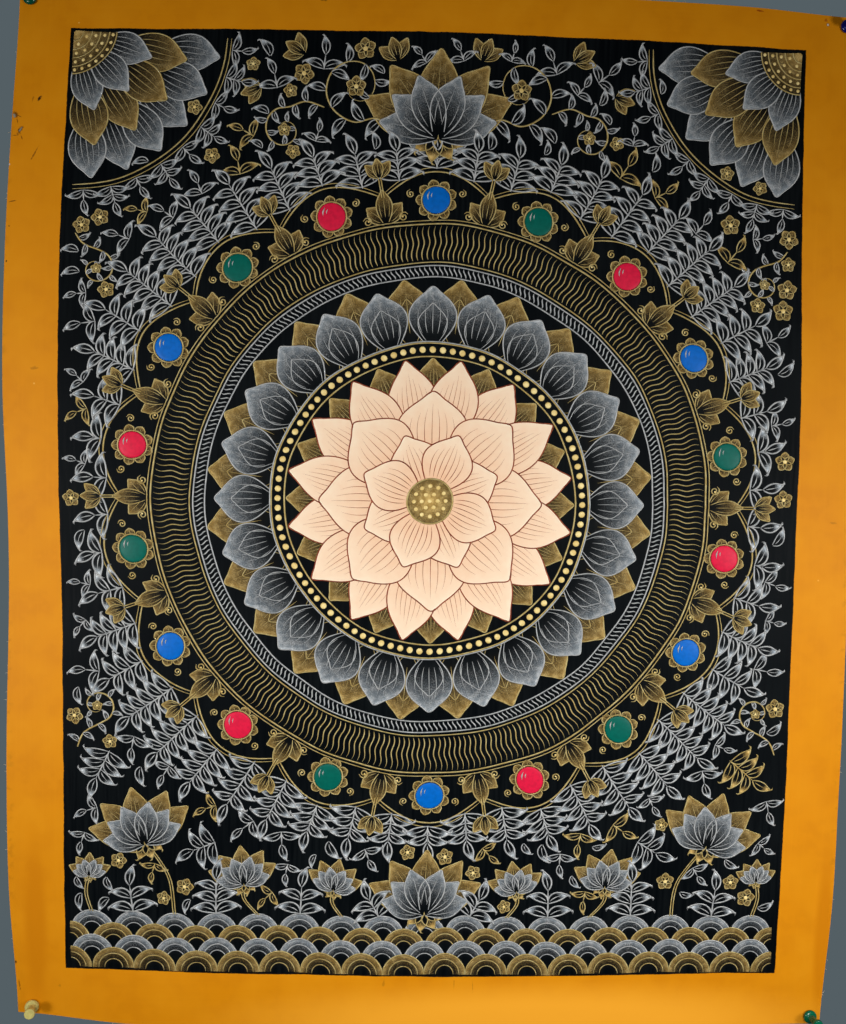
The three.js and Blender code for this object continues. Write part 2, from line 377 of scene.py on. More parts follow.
def make_mark_group():
    """An uneven spot with its own sizes and lean, used both for rubbed or chipped places on the paint and
    for broad patches of painted shade and painted sheen.
    """
    inputs = {"Across": 0, "Up": 0, "Half Width": 2, "Half Length": 2, "Lean": 0, "Ragged": 0}
    tree, given = new_group("worn_mark_and_painted_light", inputs, {"Mask": "NodeSocketFloat"})
    middle = add_node(tree, "ShaderNodeCombineXYZ", {0: given["Across"], 1: given["Up"]})
    sizes = {0: given["Half Width"], 1: given["Half Length"], 2: 1.0}
    half = add_node(tree, "ShaderNodeCombineXYZ", sizes)
    places = {0: flat_place(tree), 1: middle.outputs[0]}
    away = add_node(tree, "ShaderNodeVectorMath", places, operation="SUBTRACT")
    turned = {"Vector": away.outputs[0], "Angle": given["Lean"]}
    spun = add_node(tree, "ShaderNodeVectorRotate", turned, rotation_type="Z_AXIS")
    shares = {0: spun.outputs[0], 1: half.outputs[0]}
    share = add_node(tree, "ShaderNodeVectorMath", shares, operation="DIVIDE").outputs[0]
    far = add_node(tree, "ShaderNodeVectorMath", {0: share}, operation="LENGTH").outputs["Value"]
    mask = ramp(tree, maths(tree, "ADD", far, given["Ragged"]), 1.0, 0.35)
    add_node(tree, "NodeGroupOutput", {"Mask": mask})
    return tree


weave_group = make_weave_group()
black_ground_group = make_black_ground_group()
mark_group = make_mark_group()

OCHRE = colour(223, 140, 7)
DEEP_OCHRE = colour(211, 127, 2)
PALE_OCHRE = colour(230, 149, 16)
# A paler ochre for the painted light and sheen along the bottom of the border.
SHEEN_OCHRE = colour(253, 173, 46)
WORN_OCHRE = colour(246, 186, 84)
GRIME = colour(92, 50, 8)
SOOT = colour(26, 18, 12)
LINT = colour(146, 152, 140)
OLD_RED = colour(140, 36, 8)
BARE_CHALK = colour(226, 214, 198)
# The border's strokes run level above and below the picture and upright beside it. Its outer edge is grimy.
STROKES_TURN = (PICTURE_WIDTH / 2 - 2, PICTURE_WIDTH / 2 + 4)
GRIMY_FROM = CANVAS_WIDTH / 2 - 5
GRIMY_AT = CANVAS_WIDTH / 2 + 1
# Broad patches of painted colour that stand in for light on the cloth, and how far they reach to each side:
# painted shade in bands beside the lower side edges, and painted light and sheen along the bottom.
PAINTED_SHADE_AND_SHEEN = [
    dict(across=-281, up=-668, wide=11, long=80, tone=DEEP_OCHRE, strength=0.9),
    dict(across=294, up=-672, wide=8, long=85, tone=DEEP_OCHRE, strength=1.0),
    dict(across=80, up=-736, wide=270, long=38, tone=SHEEN_OCHRE, strength=0.9),
]
# Marks on the border, with their half sizes: smudges, scratches and stuck lint near the left edge,
# chips, cracks and specks.
MARKS = [
    dict(across=-278.8, up=-77.9, wide=1.3, long=2.5, lean=30, tone=SOOT, strength=0.95),
    dict(across=-283.3, up=-78, wide=0.7, long=2.6, lean=12, tone=GRIME, strength=0.4),
    dict(across=-295, up=-89.6, wide=2.3, long=3.2, lean=-15, tone=SOOT, strength=0.75),
    dict(across=-295.6, up=-90.2, wide=1.3, long=1.9, lean=-10, tone=LINT, strength=0.9),
    dict(across=-292.4, up=-90.4, wide=3.0, long=0.5, lean=22, tone=SOOT, strength=0.6),
    dict(across=-293.3, up=-94, wide=0.5, long=2.8, lean=-14, tone=SOOT, strength=0.6),
    dict(across=-291.1, up=-100.3, wide=1.7, long=4.4, lean=27, tone=SOOT, strength=0.85),
    dict(across=-290.9, up=-100, wide=0.8, long=2.6, lean=27, tone=LINT, strength=0.8),
    dict(across=-294.2, up=-104, wide=2.4, long=0.5, lean=0, tone=SOOT, strength=0.6),
    dict(across=-289.6, up=-105.6, wide=0.5, long=2.2, lean=-22, tone=SOOT, strength=0.65),
    dict(across=-280.3, up=-116.8, wide=0.7, long=6.8, lean=26, tone=GRIME, strength=0.65),
    dict(across=-297.2, up=-124.5, wide=0.7, long=0.8, lean=0, tone=BARE_CHALK, strength=0.9),
    dict(across=-294.1, up=-150.1, wide=3.1, long=0.55, lean=-12, tone=SOOT, strength=0.75),
    dict(across=-295.4, up=-167.5, wide=0.6, long=0.7, lean=0, tone=SOOT, strength=0.6),
    dict(across=-296.5, up=-192, wide=0.7, long=1.0, lean=0, tone=SOOT, strength=0.85),
    dict(across=-276.3, up=-266.5, wide=3.6, long=1.4, lean=-8, tone=GRIME, strength=0.35),
    dict(across=-276.1, up=-277.4, wide=0.9, long=0.9, lean=0, tone=WORN_OCHRE, strength=0.8),
    dict(across=-296.1, up=-696.2, wide=1.0, long=1.6, lean=0, tone=SOOT, strength=0.85),
    dict(across=-293.7, up=-713, wide=0.8, long=4.8, lean=-8, tone=GRIME, strength=0.55),
    dict(across=-264.6, up=-713.1, wide=1.4, long=1.4, lean=0, tone=GRIME, strength=0.25),
    dict(across=-254.5, up=-24.4, wide=0.8, long=0.7, lean=0, tone=WORN_OCHRE, strength=0.8),
    dict(across=-83.4, up=-6.6, wide=3.0, long=1.6, lean=0, tone=SOOT, strength=0.7),
    dict(across=225.3, up=-2.5, wide=3.1, long=0.9, lean=8, tone=OLD_RED, strength=0.8),
    dict(across=273.5, up=-6.2, wide=1.2, long=1.4, lean=0, tone=OLD_RED, strength=0.8),
    dict(across=273.5, up=-6.2, wide=0.5, long=0.6, lean=0, tone=OCHRE, strength=0.9),
    dict(across=275.1, up=-9.6, wide=1.5, long=1.5, lean=0, tone=SOOT, strength=0.6),
    dict(across=275.1, up=-9.6, wide=1.0, long=1.0, lean=0, tone=BARE_CHALK, strength=0.95),
    dict(across=286.4, up=-364.9, wide=3.0, long=1.2, lean=0, tone=GRIME, strength=0.3),
    dict(across=277.2, up=-407, wide=0.7, long=0.7, lean=0, tone=WORN_OCHRE, strength=0.8),
    dict(across=-28.8, up=-705.2, wide=1.3, long=3.2, lean=8, tone=GRIME, strength=0.28),
    dict(across=22.5, up=-705, wide=0.4, long=4.4, lean=0, tone=GRIME, strength=0.4),
    dict(across=36.1, up=-706.9, wide=0.4, long=5.4, lean=-4, tone=GRIME, strength=0.35),
]


def make_painted_face():
    """Ochre border and black ground over chalk and glue, with the weave just showing."""
    material, tree, shader = new_material("painted_canvas_face")
    wavering = maths(tree, "ADD", waver(tree, 26.0, 1.5), waver(tree, 1.8, 0.5))
    picture = ramp(tree, maths(tree, "ADD", inside_picture(tree), wavering), -0.15, 0.35)

    from_middle = maths(tree, "ABSOLUTE", flat_parts(tree)[0])
    on_sides = ramp(tree, from_middle, *STROKES_TURN)
    upright = noise(tree, 2.4, (1, 30, 1))
    level = noise(tree, 2.4, (30, 1, 1))
    turned = maths(tree, "MULTIPLY", on_sides, maths(tree, "SUBTRACT", upright, level))
    streaks = maths(tree, "ADD", level, turned)
    cloudy = noise(tree, 34.0)
    ochre = blend(tree, ramp(tree, cloudy, 0.36, 0.68, 0.2, 0.8), DEEP_OCHRE, PALE_OCHRE)
    ochre = blend(tree, ramp(tree, noise(tree, 12.0), 0.4, 0.62, 0.25, 0.75), ochre, OCHRE)
    ochre = blend(tree, ramp(tree, streaks, 0.45, 0.78, 0.0, 0.16), ochre, PALE_OCHRE)
    ochre = blend(tree, ramp(tree, noise(tree, 0.9), 0.55, 0.85, 0.0, 0.15), ochre, DEEP_OCHRE)
    handled = ramp(tree, from_middle, GRIMY_FROM, GRIMY_AT)
    worn = maths(tree, "MULTIPLY", handled, ramp(tree, noise(tree, 6.0), 0.5, 0.72))
    ochre = blend(tree, maths(tree, "MULTIPLY", worn, 0.2), ochre, GRIME)
    torn = waver(tree, 1.6, 1.5, detail=3.0)
    # The first patches are painted shade and painted sheen on the border; the marks after them are its real
    # wear and dirt.
    for marks, ragged in ((PAINTED_SHADE_AND_SHEEN, 0.0), (MARKS, torn)):
        for mark in marks:
            inputs = {
                "Across": mark["across"],
                "Up": mark["up"],
                "Half Width": mark["wide"],
                "Half Length": mark["long"],
                "Lean": math.radians(mark.get("lean", 0)),
                "Ragged": ragged,
            }
            mask = use_group(tree, mark_group, inputs)["Mask"]
            share = maths(tree, "MULTIPLY", mask, mark["strength"])
            ochre = blend(tree, share, ochre, mark["tone"])
    ground = use_group(tree, black_ground_group)
    weave = use_group(tree, weave_group, {"Pitch": THREAD_PITCH})["Height"]
    brushed = maths(tree, "MULTIPLY", streaks, 0.7)
    height = maths(tree, "ADD", maths(tree, "MULTIPLY", weave, 0.5), brushed)
    bump = add_node(tree, "ShaderNodeBump", {"Height": height, "Strength": 0.22, "Distance": 0.15 * MM})
    matt = ramp(tree, cloudy, 0.3, 0.7, 0.58, 0.72)
    change = maths(tree, "SUBTRACT", ground["Roughness"], matt)
    rough = maths(tree, "ADD", matt, maths(tree, "MULTIPLY", picture, change))
    inputs = {
        "Base Color": blend(tree, picture, ochre, ground["Colour"]),
        "Roughness": rough,
        "Normal": bump.outputs[0],
        "Specular IOR Level": 0.03,
        "Coat Weight": maths(tree, "MULTIPLY", maths(tree, "SUBTRACT", 1.0, picture), 0.12),
        "Coat Roughness": 0.5,
    }
    set_inputs(tree, shader, inputs)
    return material


def make_raw_cotton():
    """The unpainted back: unbleached cotton, with glue stains and the paint's shadow coming through."""
    material, tree, shader = new_material("raw_cotton_back")
    weave = use_group(tree, weave_group, {"Pitch": THREAD_PITCH})["Height"]
    stain = ramp(tree, noise(tree, 60.0, detail=5.0), 0.42, 0.75, 0.0, 0.4)
    tone = blend(tree, stain, colour(206, 190, 158), colour(176, 152, 112))
    slubs = ramp(tree, noise(tree, 1.2, (1, 8, 1)), 0.5, 0.8, 0.0, 0.35)
    tone = blend(tree, slubs, tone, colour(226, 214, 188))
    # The low places of the weave, between the threads, are painted darker: painted shade.
    tone = blend(tree, ramp(tree, weave, 0.0, 0.7, 0.3, 0.0), tone, colour(120, 98, 66))
    spread = maths(tree, "ADD", inside_picture(tree), maths(tree, "MULTIPLY", noise(tree, 8.0), 9.0))
    soaked = ramp(tree, spread, 0.0, 12.0, 0.0, 0.45)
    tone = blend(tree, soaked, tone, colour(116, 108, 94))
    bump = add_node(tree, "ShaderNodeBump", {"Height": weave, "Strength": 0.5, "Distance": 0.3 * MM})
    inputs = {"Base Color": tone, "Roughness": 0.9, "Normal": bump.outputs[0], "Sheen Weight": 0.15}
    set_inputs(tree, shader, inputs)
    return material


canvas = make_canvas()
canvas.data.materials.append(make_painted_face())
raw_cotton = make_raw_cotton()
canvas.data.materials.append(raw_cotton)
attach(canvas, "root")
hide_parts("painted_canvas")

# The lotus at the middle of the picture is opaque cream paint, thickest on the front petals.
# Its outlines and veins are drawn in rust with a fine brush, and its seed head is dusted with gold.
# A motif's places are complex numbers: millimetres across the flat canvas, and up it as the imaginary part.
MIDDLE = -356j
# Paint stands a coat higher for each level that is laid over another.
COAT = 0.12
FILM = 0.05
# A brush line's points, as far apart as a length or a bend in radians allows, and how its ends thin out.
LONGEST_STEP = 3.0
MOST_BEND = 0.38
LINE_HALF = 0.58
BLUNT_END = 0.03
END_TAPER = 0.7
LINE_SECTION = {"Sides": 3, "Crown": 0.14}
SMALL_DROP = {"Sides": 10, "Rings": 6, "Height": 0.3}
LARGE_DROP = {"Sides": 28, "Rings": 12, "Height": 0.08}
LARGE_DROP_FROM = 3
SMALL_PETAL = 16
LOTUS_WIDTHS = [0.36, 0.62, 0.83, 0.96, 1.0, 0.93, 0.72, 0.38, 0.0]
LOTUS_TIERS = [
    dict(count=16, root=66, tip=101, width=24, start=0, paint="gold", ink="gold", bright=(0.0, 1.0)),
    dict(count=16, root=40, tip=101, width=35, start=11.25, paint="cream", ink="rust", bright=(0.8, 0.0)),
    dict(count=8, root=24, tip=78, width=50, start=0, paint="cream", ink="rust", bright=(0.8, 0.0)),
    dict(count=8, root=10, tip=50, width=36, start=22.5, paint="cream", ink="rust", bright=(0.8, 0.0)),
]
SEED_HEAD = 16
SEED_RINGS = [dict(count=1, radius=0), dict(count=6, radius=5.4), dict(count=12, radius=11)]
SEED_RADIUS = 1.5
drawn = {"lines": {}, "films": {}, "drops": {}}
covered = []


def placed(at, turn=0.0, size=1.0, flip=False):
    """How a motif is set down: where, turned by how many degrees, how large, and mirrored or not."""
    spin = size * np.exp(1j * math.radians(turn))
    return lambda z: at + spin * (np.conj(z) if flip else z)


def placed_within(to, at, turn=0.0, size=1.0, flip=False):
    """A motif set down inside another one."""
    inner = placed(at, turn, size, flip)
    return lambda z: to(inner(z))


def around(count, start=0.0):
    """Equal turns round a circle, in degrees."""
    return start + 360 / count * np.arange(count)


def out_at(radius, turn):
    """The place at a radius and a turn in degrees."""
    return radius * np.exp(1j * np.radians(turn))


def brush(paint, to, points, width=0.9, level=0, thin=(0.3, 0.3)):
    """One brush line through a motif's points, thinner over a share of it at each end."""
    points = np.asarray(points, dtype=complex)
    dense = to(along(points, np.linspace(0, 1, 8 * len(points))))
    step = np.diff(dense)
    turning = np.abs(np.angle(step[1:] / step[:-1]))
    cost = np.abs(step) / LONGEST_STEP + np.append(turning, 0) / MOST_BEND
    reach = np.append(0, np.cumsum(cost))
    share = np.linspace(0, 1, max(math.ceil(reach[-1]), 2) + 1)
    path = np.interp(share * reach[-1], reach, dense)
    start = (share + BLUNT_END) / (thin[0] + BLUNT_END)
    end = (1 + BLUNT_END - share) / (thin[1] + BLUNT_END)
    half = LINE_HALF * width * np.minimum(np.minimum(start, end), 1) ** END_TAPER
    drawn["lines"].setdefault(paint, []).append((path, half, level))


def film(paint, to, grid, shade, level=0):
    """A patch of paint over a motif's grid of places, with a shade from 0 to 1 at each."""
    places = to(grid)
    shade = np.broadcast_to(shade, grid.shape)
    down = np.diff(places, axis=0)[:, :-1]
    over = np.diff(places, axis=1)[:-1]
    if np.sum((np.conj(down) * over).imag) < 0:
        places = places[:, ::-1]
        shade = shade[:, ::-1]
    drawn["films"].setdefault(paint, []).append((places, shade, level))


def drop(paint, to, at, radius, level=0):
    """A raised drop of thick paint."""
    drawn["drops"].setdefault(paint, []).append((to(at), radius, level))


def ring(paint, at, radius, width=0.9, level=0):
    """A full circle in one brush line."""
    brush(paint, placed(at), out_at(radius, np.linspace(0, 360, 49)), width, level, thin=(0, 0))


def blade(length, width, widths, bend=0.0, rows=10, columns=5):
    """A petal's or leaf's grid, from its root at 0 along the real axis, bent towards its tip."""
    way = np.linspace(0, 1, rows)[:, None]
    side = np.linspace(-0.5, 0.5, columns)[None, :]
    flat = length * way + 1j * width * side * along(widths, way)
    return flat * np.exp(1j * math.radians(bend) * way)


def outline(grid):
    """A blade's edge from its root, round its tip, and back."""
    return np.concatenate([grid[:, 0], grid[-2::-1, -1]])


def petal(dust, ink, to, length, width, level, veins=5, line=0.9, bright=(0, 1), widths=LOTUS_WIDTHS):
    """A petal: a film shaded from root to tip, an outline, and veins that fan out from its root."""
    rows, columns = (6, 3) if length < SMALL_PETAL else (10, 5)
    grid = blade(length, width, widths, rows=rows, columns=columns)
    way = np.linspace(0, 1, grid.shape[0])[:, None]
    side = np.abs(np.linspace(-1, 1, grid.shape[1]))[None, :]
    glow = np.clip(0.7 * way**1.5 + 0.28 * way * side**2, 0, 1)
    film(dust, to, grid, bright[0] + (bright[1] - bright[0]) * glow, level)
    brush(ink, to, outline(grid), line, level, thin=(0.06, 0.06))
    for vein in np.linspace(-0.62, 0.62, veins) if veins > 1 else [0]:
        part = np.linspace(0.16, 0.84 - 0.3 * abs(vein), 6)
        points = length * part + 0.5j * width * vein * along(widths, part)
        brush(ink, to, points, 0.55 * line, level, thin=(0.2, 0.7))


def unsteady(across, up):
    """Flat places as a hand paints them, a little off a ruled drawing."""
    moved = 0.5 * np.sin(up / 23 + 1.3) + 0.3 * np.sin(up / 9.1 + across / 31)
    raised = 0.5 * np.sin(across / 21 + 0.4) + 0.3 * np.sin(across / 8.7 - up / 27)
    return across + moved + 0.16 * np.sin(across / 5.3), up + raised + 0.16 * np.sin(up / 4.9)


def hang_paint(mesh):
    """Lays a flat mesh of paint on the hung canvas, and keeps its flat places as UV maps."""
    flat = np.empty(3 * len(mesh.vertices), dtype=np.float32)
    mesh.vertices.foreach_get("co", flat)
    across, up, lift = flat.reshape(-1, 3).T.astype(float)
    across, up = unsteady(across, up)
    places = np.stack([across, up], axis=-1)[corner_points(mesh)]
    add_uv(mesh, "Flat", places)
    add_uv(mesh, "OFBake", (places - SPREAD_FROM) / SPREAD_SIZE)
    mesh.vertices.foreach_set("co", hang(across, up, lift).astype(np.float32).ravel())


def tree_inputs(tree, kinds):
    """Gives a geometry tree its inputs and its one output, and returns the inputs' sockets."""
    for label, kind in kinds.items():
        tree.interface.new_socket(label, in_out="INPUT", socket_type=kind)
    tree.interface.new_socket("Geometry", in_out="OUTPUT", socket_type="NodeSocketGeometry")
    return tree.nodes.new("NodeGroupInput").outputs


def finish_tree(tree, geometry, paint):
    """Ends a tree with plain geometry in one paint."""
    whole = add_node(tree, "GeometryNodeRealizeInstances", {"Geometry": geometry})
    inputs = {"Geometry": whole.outputs[0], "Material": paint}
    done = add_node(tree, "GeometryNodeSetMaterial", inputs)
    add_node(tree, "NodeGroupOutput", {"Geometry": done.outputs[0]})


def half_width_of(tree):
    """The half width or radius that each point carries."""
    kept = {"Name": "half_width"}
    return add_node(tree, "GeometryNodeInputNamedAttribute", kept, data_type="FLOAT").outputs[0]


def make_brush_line_tree():
    """Sweeps a low crowned bead of paint along each line of points, as wide as they say."""
    tree = bpy.data.node_groups.new("brush_lines", "GeometryNodeTree")
    kinds = {
        "Geometry": "NodeSocketGeometry",
        "Sides": "NodeSocketInt",
        "Crown": "NodeSocketFloat",
        "Paint": "NodeSocketMaterial",
    }
    given = tree_inputs(tree, kinds)
    path = add_node(tree, "GeometryNodeMeshToCurve", {"Mesh": given["Geometry"]})
    level = add_node(tree, "GeometryNodeSetCurveNormal", {"Curve": path.outputs[0]}, mode="Z_UP")
    round_section = {"Resolution": given["Sides"], "Radius": 1.0}
    circle = add_node(tree, "GeometryNodeCurvePrimitiveCircle", round_section)
    size = add_node(tree, "ShaderNodeCombineXYZ", {"X": given["Crown"], "Y": 1.0, "Z": 1.0})
    upright = {
        "Geometry": circle.outputs[0],
        "Scale": size.outputs[0],
        "Rotation": (0, 0, math.pi / 2),
    }
    section = add_node(tree, "GeometryNodeTransform", upright)
    sweep = {
        "Curve": level.outputs[0],
        "Profile Curve": section.outputs[0],
        "Scale": half_width_of(tree),
        "Fill Caps": True,
    }
    swept = add_node(tree, "GeometryNodeCurveToMesh", sweep)
    finish_tree(tree, swept.outputs[0], given["Paint"])
    return tree


def make_drop_tree():
    """Sets a low rounded drop of paint on each point, as large as it says."""
    tree = bpy.data.node_groups.new("paint_drops", "GeometryNodeTree")
    kinds = {
        "Geometry": "NodeSocketGeometry",
        "Sides": "NodeSocketInt",
        "Rings": "NodeSocketInt",
        "Height": "NodeSocketFloat",
        "Paint": "NodeSocketMaterial",
    }
    given = tree_inputs(tree, kinds)
    round_drop = {"Segments": given["Sides"], "Rings": given["Rings"], "Radius": 1.0}
    ball = add_node(tree, "GeometryNodeMeshUVSphere", round_drop)
    size = add_node(tree, "ShaderNodeCombineXYZ", {"X": 1.0, "Y": 1.0, "Z": given["Height"]})
    flattened = {"Geometry": ball.outputs[0], "Scale": size.outputs[0]}
    low = add_node(tree, "GeometryNodeTransform", flattened)
    spots = {"Points": given["Geometry"], "Instance": low.outputs[0], "Scale": half_width_of(tree)}
    set_down = add_node(tree, "GeometryNodeInstanceOnPoints", spots)
    smooth = add_node(tree, "GeometryNodeSetShadeSmooth", {"Geometry": set_down.outputs[0]})
    finish_tree(tree, smooth.outputs[0], given["Paint"])
    return tree


brush_line_tree = make_brush_line_tree()
drop_tree = make_drop_tree()


def plain_mesh(holder):
    """The mesh that a holder's modifiers make; the holder goes."""
    made = holder.evaluated_get(bpy.context.evaluated_depsgraph_get())
    mesh = bpy.data.meshes.new_from_object(made)
    bpy.data.objects.remove(holder)
    return mesh


def grown(points, edges, half_width, tree, values):
    """The plain mesh that a node tree grows from points and the lines between them."""
    seed = bpy.data.meshes.new("seed")
    seed.from_pydata(points, edges, [])
    wide = seed.attributes.new("half_width", "FLOAT", "POINT")
    wide.data.foreach_set("value", np.asarray(half_width, dtype=np.float32))
    holder = show("seed", seed)
    modifier = holder.modifiers.new("growth", "NODES")
    modifier.node_group = tree
    for item in tree.interface.items_tree:
        if item.in_out == "INPUT" and item.name in values:
            modifier[item.identifier] = values[item.name]
    return plain_mesh(holder)


def swept_lines(strokes, values):
    """Beads of paint along strokes, each a path, its half widths and its level."""
    paths, halves, levels = zip(*strokes)
    counts = [len(path) for path in paths]
    path = np.concatenate(paths)
    lift = np.repeat(COAT * np.array(levels) + FILM, counts)
    first = np.setdiff1d(np.arange(len(path)), np.cumsum(counts) - 1)
    points = np.stack([path.real, path.imag, lift], axis=-1)
    edges = np.stack([first, first + 1], axis=-1).tolist()
    return grown(points, edges, np.concatenate(halves), brush_line_tree, values)


def film_mesh(patches, material):
    """Closed thin films for all patches of one paint, flat, with their shades."""
    points, faces, shades, first = [], [], [], 0
    for places, shade, level in patches:
        rows, columns = places.shape
        number = first + np.arange(rows * columns).reshape(rows, columns)
        faces.append(grid_quads(number))
        lift = np.full(places.shape, COAT * level + FILM)
        points.append(np.stack([places.real, places.imag, lift], axis=-1).reshape(-1, 3))
        shades.append(shade.ravel())
        first += rows * columns
    mesh = bpy.data.meshes.new("film")
    mesh.from_pydata(np.concatenate(points), [], np.concatenate(faces).tolist())
    tone = mesh.attributes.new("shade", "FLOAT", "POINT")
    tone.data.foreach_set("value", np.concatenate(shades).astype(np.float32))
    mesh.materials.append(material)
    holder = show("film", mesh)
    thick = holder.modifiers.new("coat", "SOLIDIFY")
    thick.thickness = FILM
    thick.offset = -1
    return plain_mesh(holder)


def add_to_canvas(name, mesh):
    """A finished piece on the canvas, hung as the cloth hangs."""
    hang_paint(mesh)
    mesh.name = name
    piece = show(name, mesh)
    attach(piece, "root")


def lay_paint(motif):
    """Makes a motif's drawn lines, films and drops into pieces on the canvas, one for each paint."""
    for paint, strokes in drawn["lines"].items():
        values = {**LINE_SECTION, "Paint": paints[paint]}
        add_to_canvas(f"{motif}_{paint}_lines", swept_lines(strokes, values))
        covered.extend(stroke[0] for stroke in strokes)
    for paint, spots in drawn["drops"].items():
        points = [(at.real, at.imag, COAT * level + FILM) for at, radius, level in spots]
        half = [radius for at, radius, level in spots]
        shape = LARGE_DROP if max(half) > LARGE_DROP_FROM else SMALL_DROP
        values = {**shape, "Paint": paints[paint]}
        add_to_canvas(f"{motif}_{paint}_drops", grown(points, [], half, drop_tree, values))
        covered.extend(at + out_at(radius, around(8)) for at, radius, level in spots)
    for paint, patches in drawn["films"].items():
        add_to_canvas(f"{motif}_{paint}_film", film_mesh(patches, paints[f"{paint}_film"]))
        covered.extend(places.ravel() for places, shade, level in patches)
    for kind in drawn.values():
        kind.clear()


def make_dry_brush_group():
    """Metal powder rubbed on with a nearly dry brush: grainy, and denser where the shade is higher."""
    tree, given = new_group("dry_brush", {"Shade": 1.0, "Grain": 1.0}, {"Cover": "NodeSocketFloat"})
    scaled = {0: flat_place(tree), 3: given["Grain"]}
    place = add_node(tree, "ShaderNodeVectorMath", scaled, operation="SCALE").outputs[0]
    inputs = {"Vector": place, "Scale": 1.0, "Detail": 2.0}
    speckle = add_node(tree, "ShaderNodeTexNoise", inputs).outputs["Fac"]
    lumps = maths(tree, "MULTIPLY", maths(tree, "SUBTRACT", speckle, 0.5), 1.6)
    grainy = maths(tree, "MULTIPLY", lumps, maths(tree, "SUBTRACT", 1.15, given["Shade"]))
    spread = maths(tree, "MULTIPLY", grainy, ramp(tree, given["Shade"], 0.0, 0.25))
    cover = maths(tree, "ADD", given["Shade"], spread, clamp=True)
    add_node(tree, "NodeGroupOutput", {"Cover": maths(tree, "POWER", cover, 1.8)})
    return tree


dry_brush_group = make_dry_brush_group()


def shade_of(tree):
    """The shade that a film carries at each place."""
    return add_node(tree, "ShaderNodeAttribute", attribute_name="shade").outputs["Fac"]


def make_line_paint(name, light, dark, rough):
    """Paint for lines, a little thinner and darker in places, as a brush runs dry."""
    material, tree, shader = new_material(name)
    tone = blend(tree, ramp(tree, noise(tree, 5.0), 0.35, 0.68), dark, light)
    set_inputs(tree, shader, {"Base Color": tone, "Roughness": rough, "Specular IOR Level": 0.3})
    return material


def make_dusted_film(name, light, dark):
    """Metal powder over the black ground, from nothing to dense."""
    material, tree, shader = new_material(name)
    cover = use_group(tree, dry_brush_group, {"Shade": shade_of(tree), "Grain": 1.3})["Cover"]
    ground = use_group(tree, black_ground_group)
    dust = blend(tree, ramp(tree, noise(tree, 4.0), 0.35, 0.7), dark, light)
    tone = blend(tree, cover, ground["Colour"], dust)
    set_inputs(tree, shader, {"Base Color": tone, "Roughness": 0.5, "Specular IOR Level": 0.04})
    return material


def make_shaded_film(name, pale, deep):
    """Opaque paint wetted out from a pale tone to a deeper one."""
    material, tree, shader = new_material(name)
    share = maths(tree, "ADD", shade_of(tree), waver(tree, 6.0, 0.3), clamp=True)
    tone = blend(tree, share, pale, deep)
    set_inputs(tree, shader, {"Base Color": tone, "Roughness": 0.6, "Specular IOR Level": 0.3})
    return material


paints = {
    "gold": make_line_paint("gold_line_paint", colour(254, 230, 158), colour(230, 198, 120), 0.42),
    "silver": make_line_paint("silver_line_paint", colour(248, 248, 245), colour(220, 222, 222), 0.42),
    "rust": make_line_paint("rust_line_paint", colour(206, 104, 66), colour(166, 70, 44), 0.6),
    "gold_film": make_dusted_film("gold_dusted_film", colour(232, 196, 122), colour(182, 146, 78)),
    "silver_film": make_dusted_film("silver_dusted_film", colour(232, 236, 237), colour(172, 182, 189)),
    "cream_film": make_shaded_film("cream_film", colour(255, 236, 206), colour(240, 182, 138)),
}

for tier, size in enumerate(LOTUS_TIERS):
    length = size["tip"] - size["root"]
    for k, turn in enumerate(around(size["count"], size["start"])):
        to = placed(MIDDLE + out_at(size["root"], turn), turn)
        level = 2 * tier + k % 2
        look = dict(veins=7, line=0.85, bright=size["bright"])
        petal(size["paint"], size["ink"], to, length, size["width"], level, **look)
seed_level = 2 * len(LOTUS_TIERS)
right, up = np.meshgrid(np.linspace(-1, 1, 13), np.linspace(-1, 1, 13))
disc = right * np.sqrt(1 - up**2 / 2) + 1j * up * np.sqrt(1 - right**2 / 2)
film("gold", placed(MIDDLE), SEED_HEAD * disc, 1 - 0.5 * np.abs(disc), seed_level)
ring("gold", MIDDLE, SEED_HEAD, 1.2, seed_level)
for size in SEED_RINGS:
    for turn in around(size["count"]):
        drop("gold", placed(MIDDLE), out_at(size["radius"], turn), SEED_RADIUS, seed_level)
lay_paint("middle_lotus")

# Round the lotus run a band of gold beads, two rows of petals dusted with gold and silver powder,
# a silver rope, and a band of fine wavy rays, all drawn with a brush over the black ground.
BEAD_BAND = 107
BEAD_BAND_HALF = 4.6
BEADS = 96
BEAD_RADIUS = 2.3
PETALS = 24
PETAL_ROOT = 112
PETAL_WIDTH = 33
INNER_WIDTH = 20
PETAL_ROWS = [
    dict(paint="gold", tip=157, start=7.5),
    dict(paint="silver", tip=151, start=0),
]
ROPE_BAND = 162
ROPE_HALF = 4
ROPE_STRANDS = 300
ROPE_STRAND = [-3.4, -1.5 + 0.2j, 1.5 + 2.2j, 3.4 + 2.4j]
RAYS = 300
RAY_ROOT = 170
RAY_TIP = 194
RAY_RIPPLE = 0.8
RAY_MARGIN = 1.6

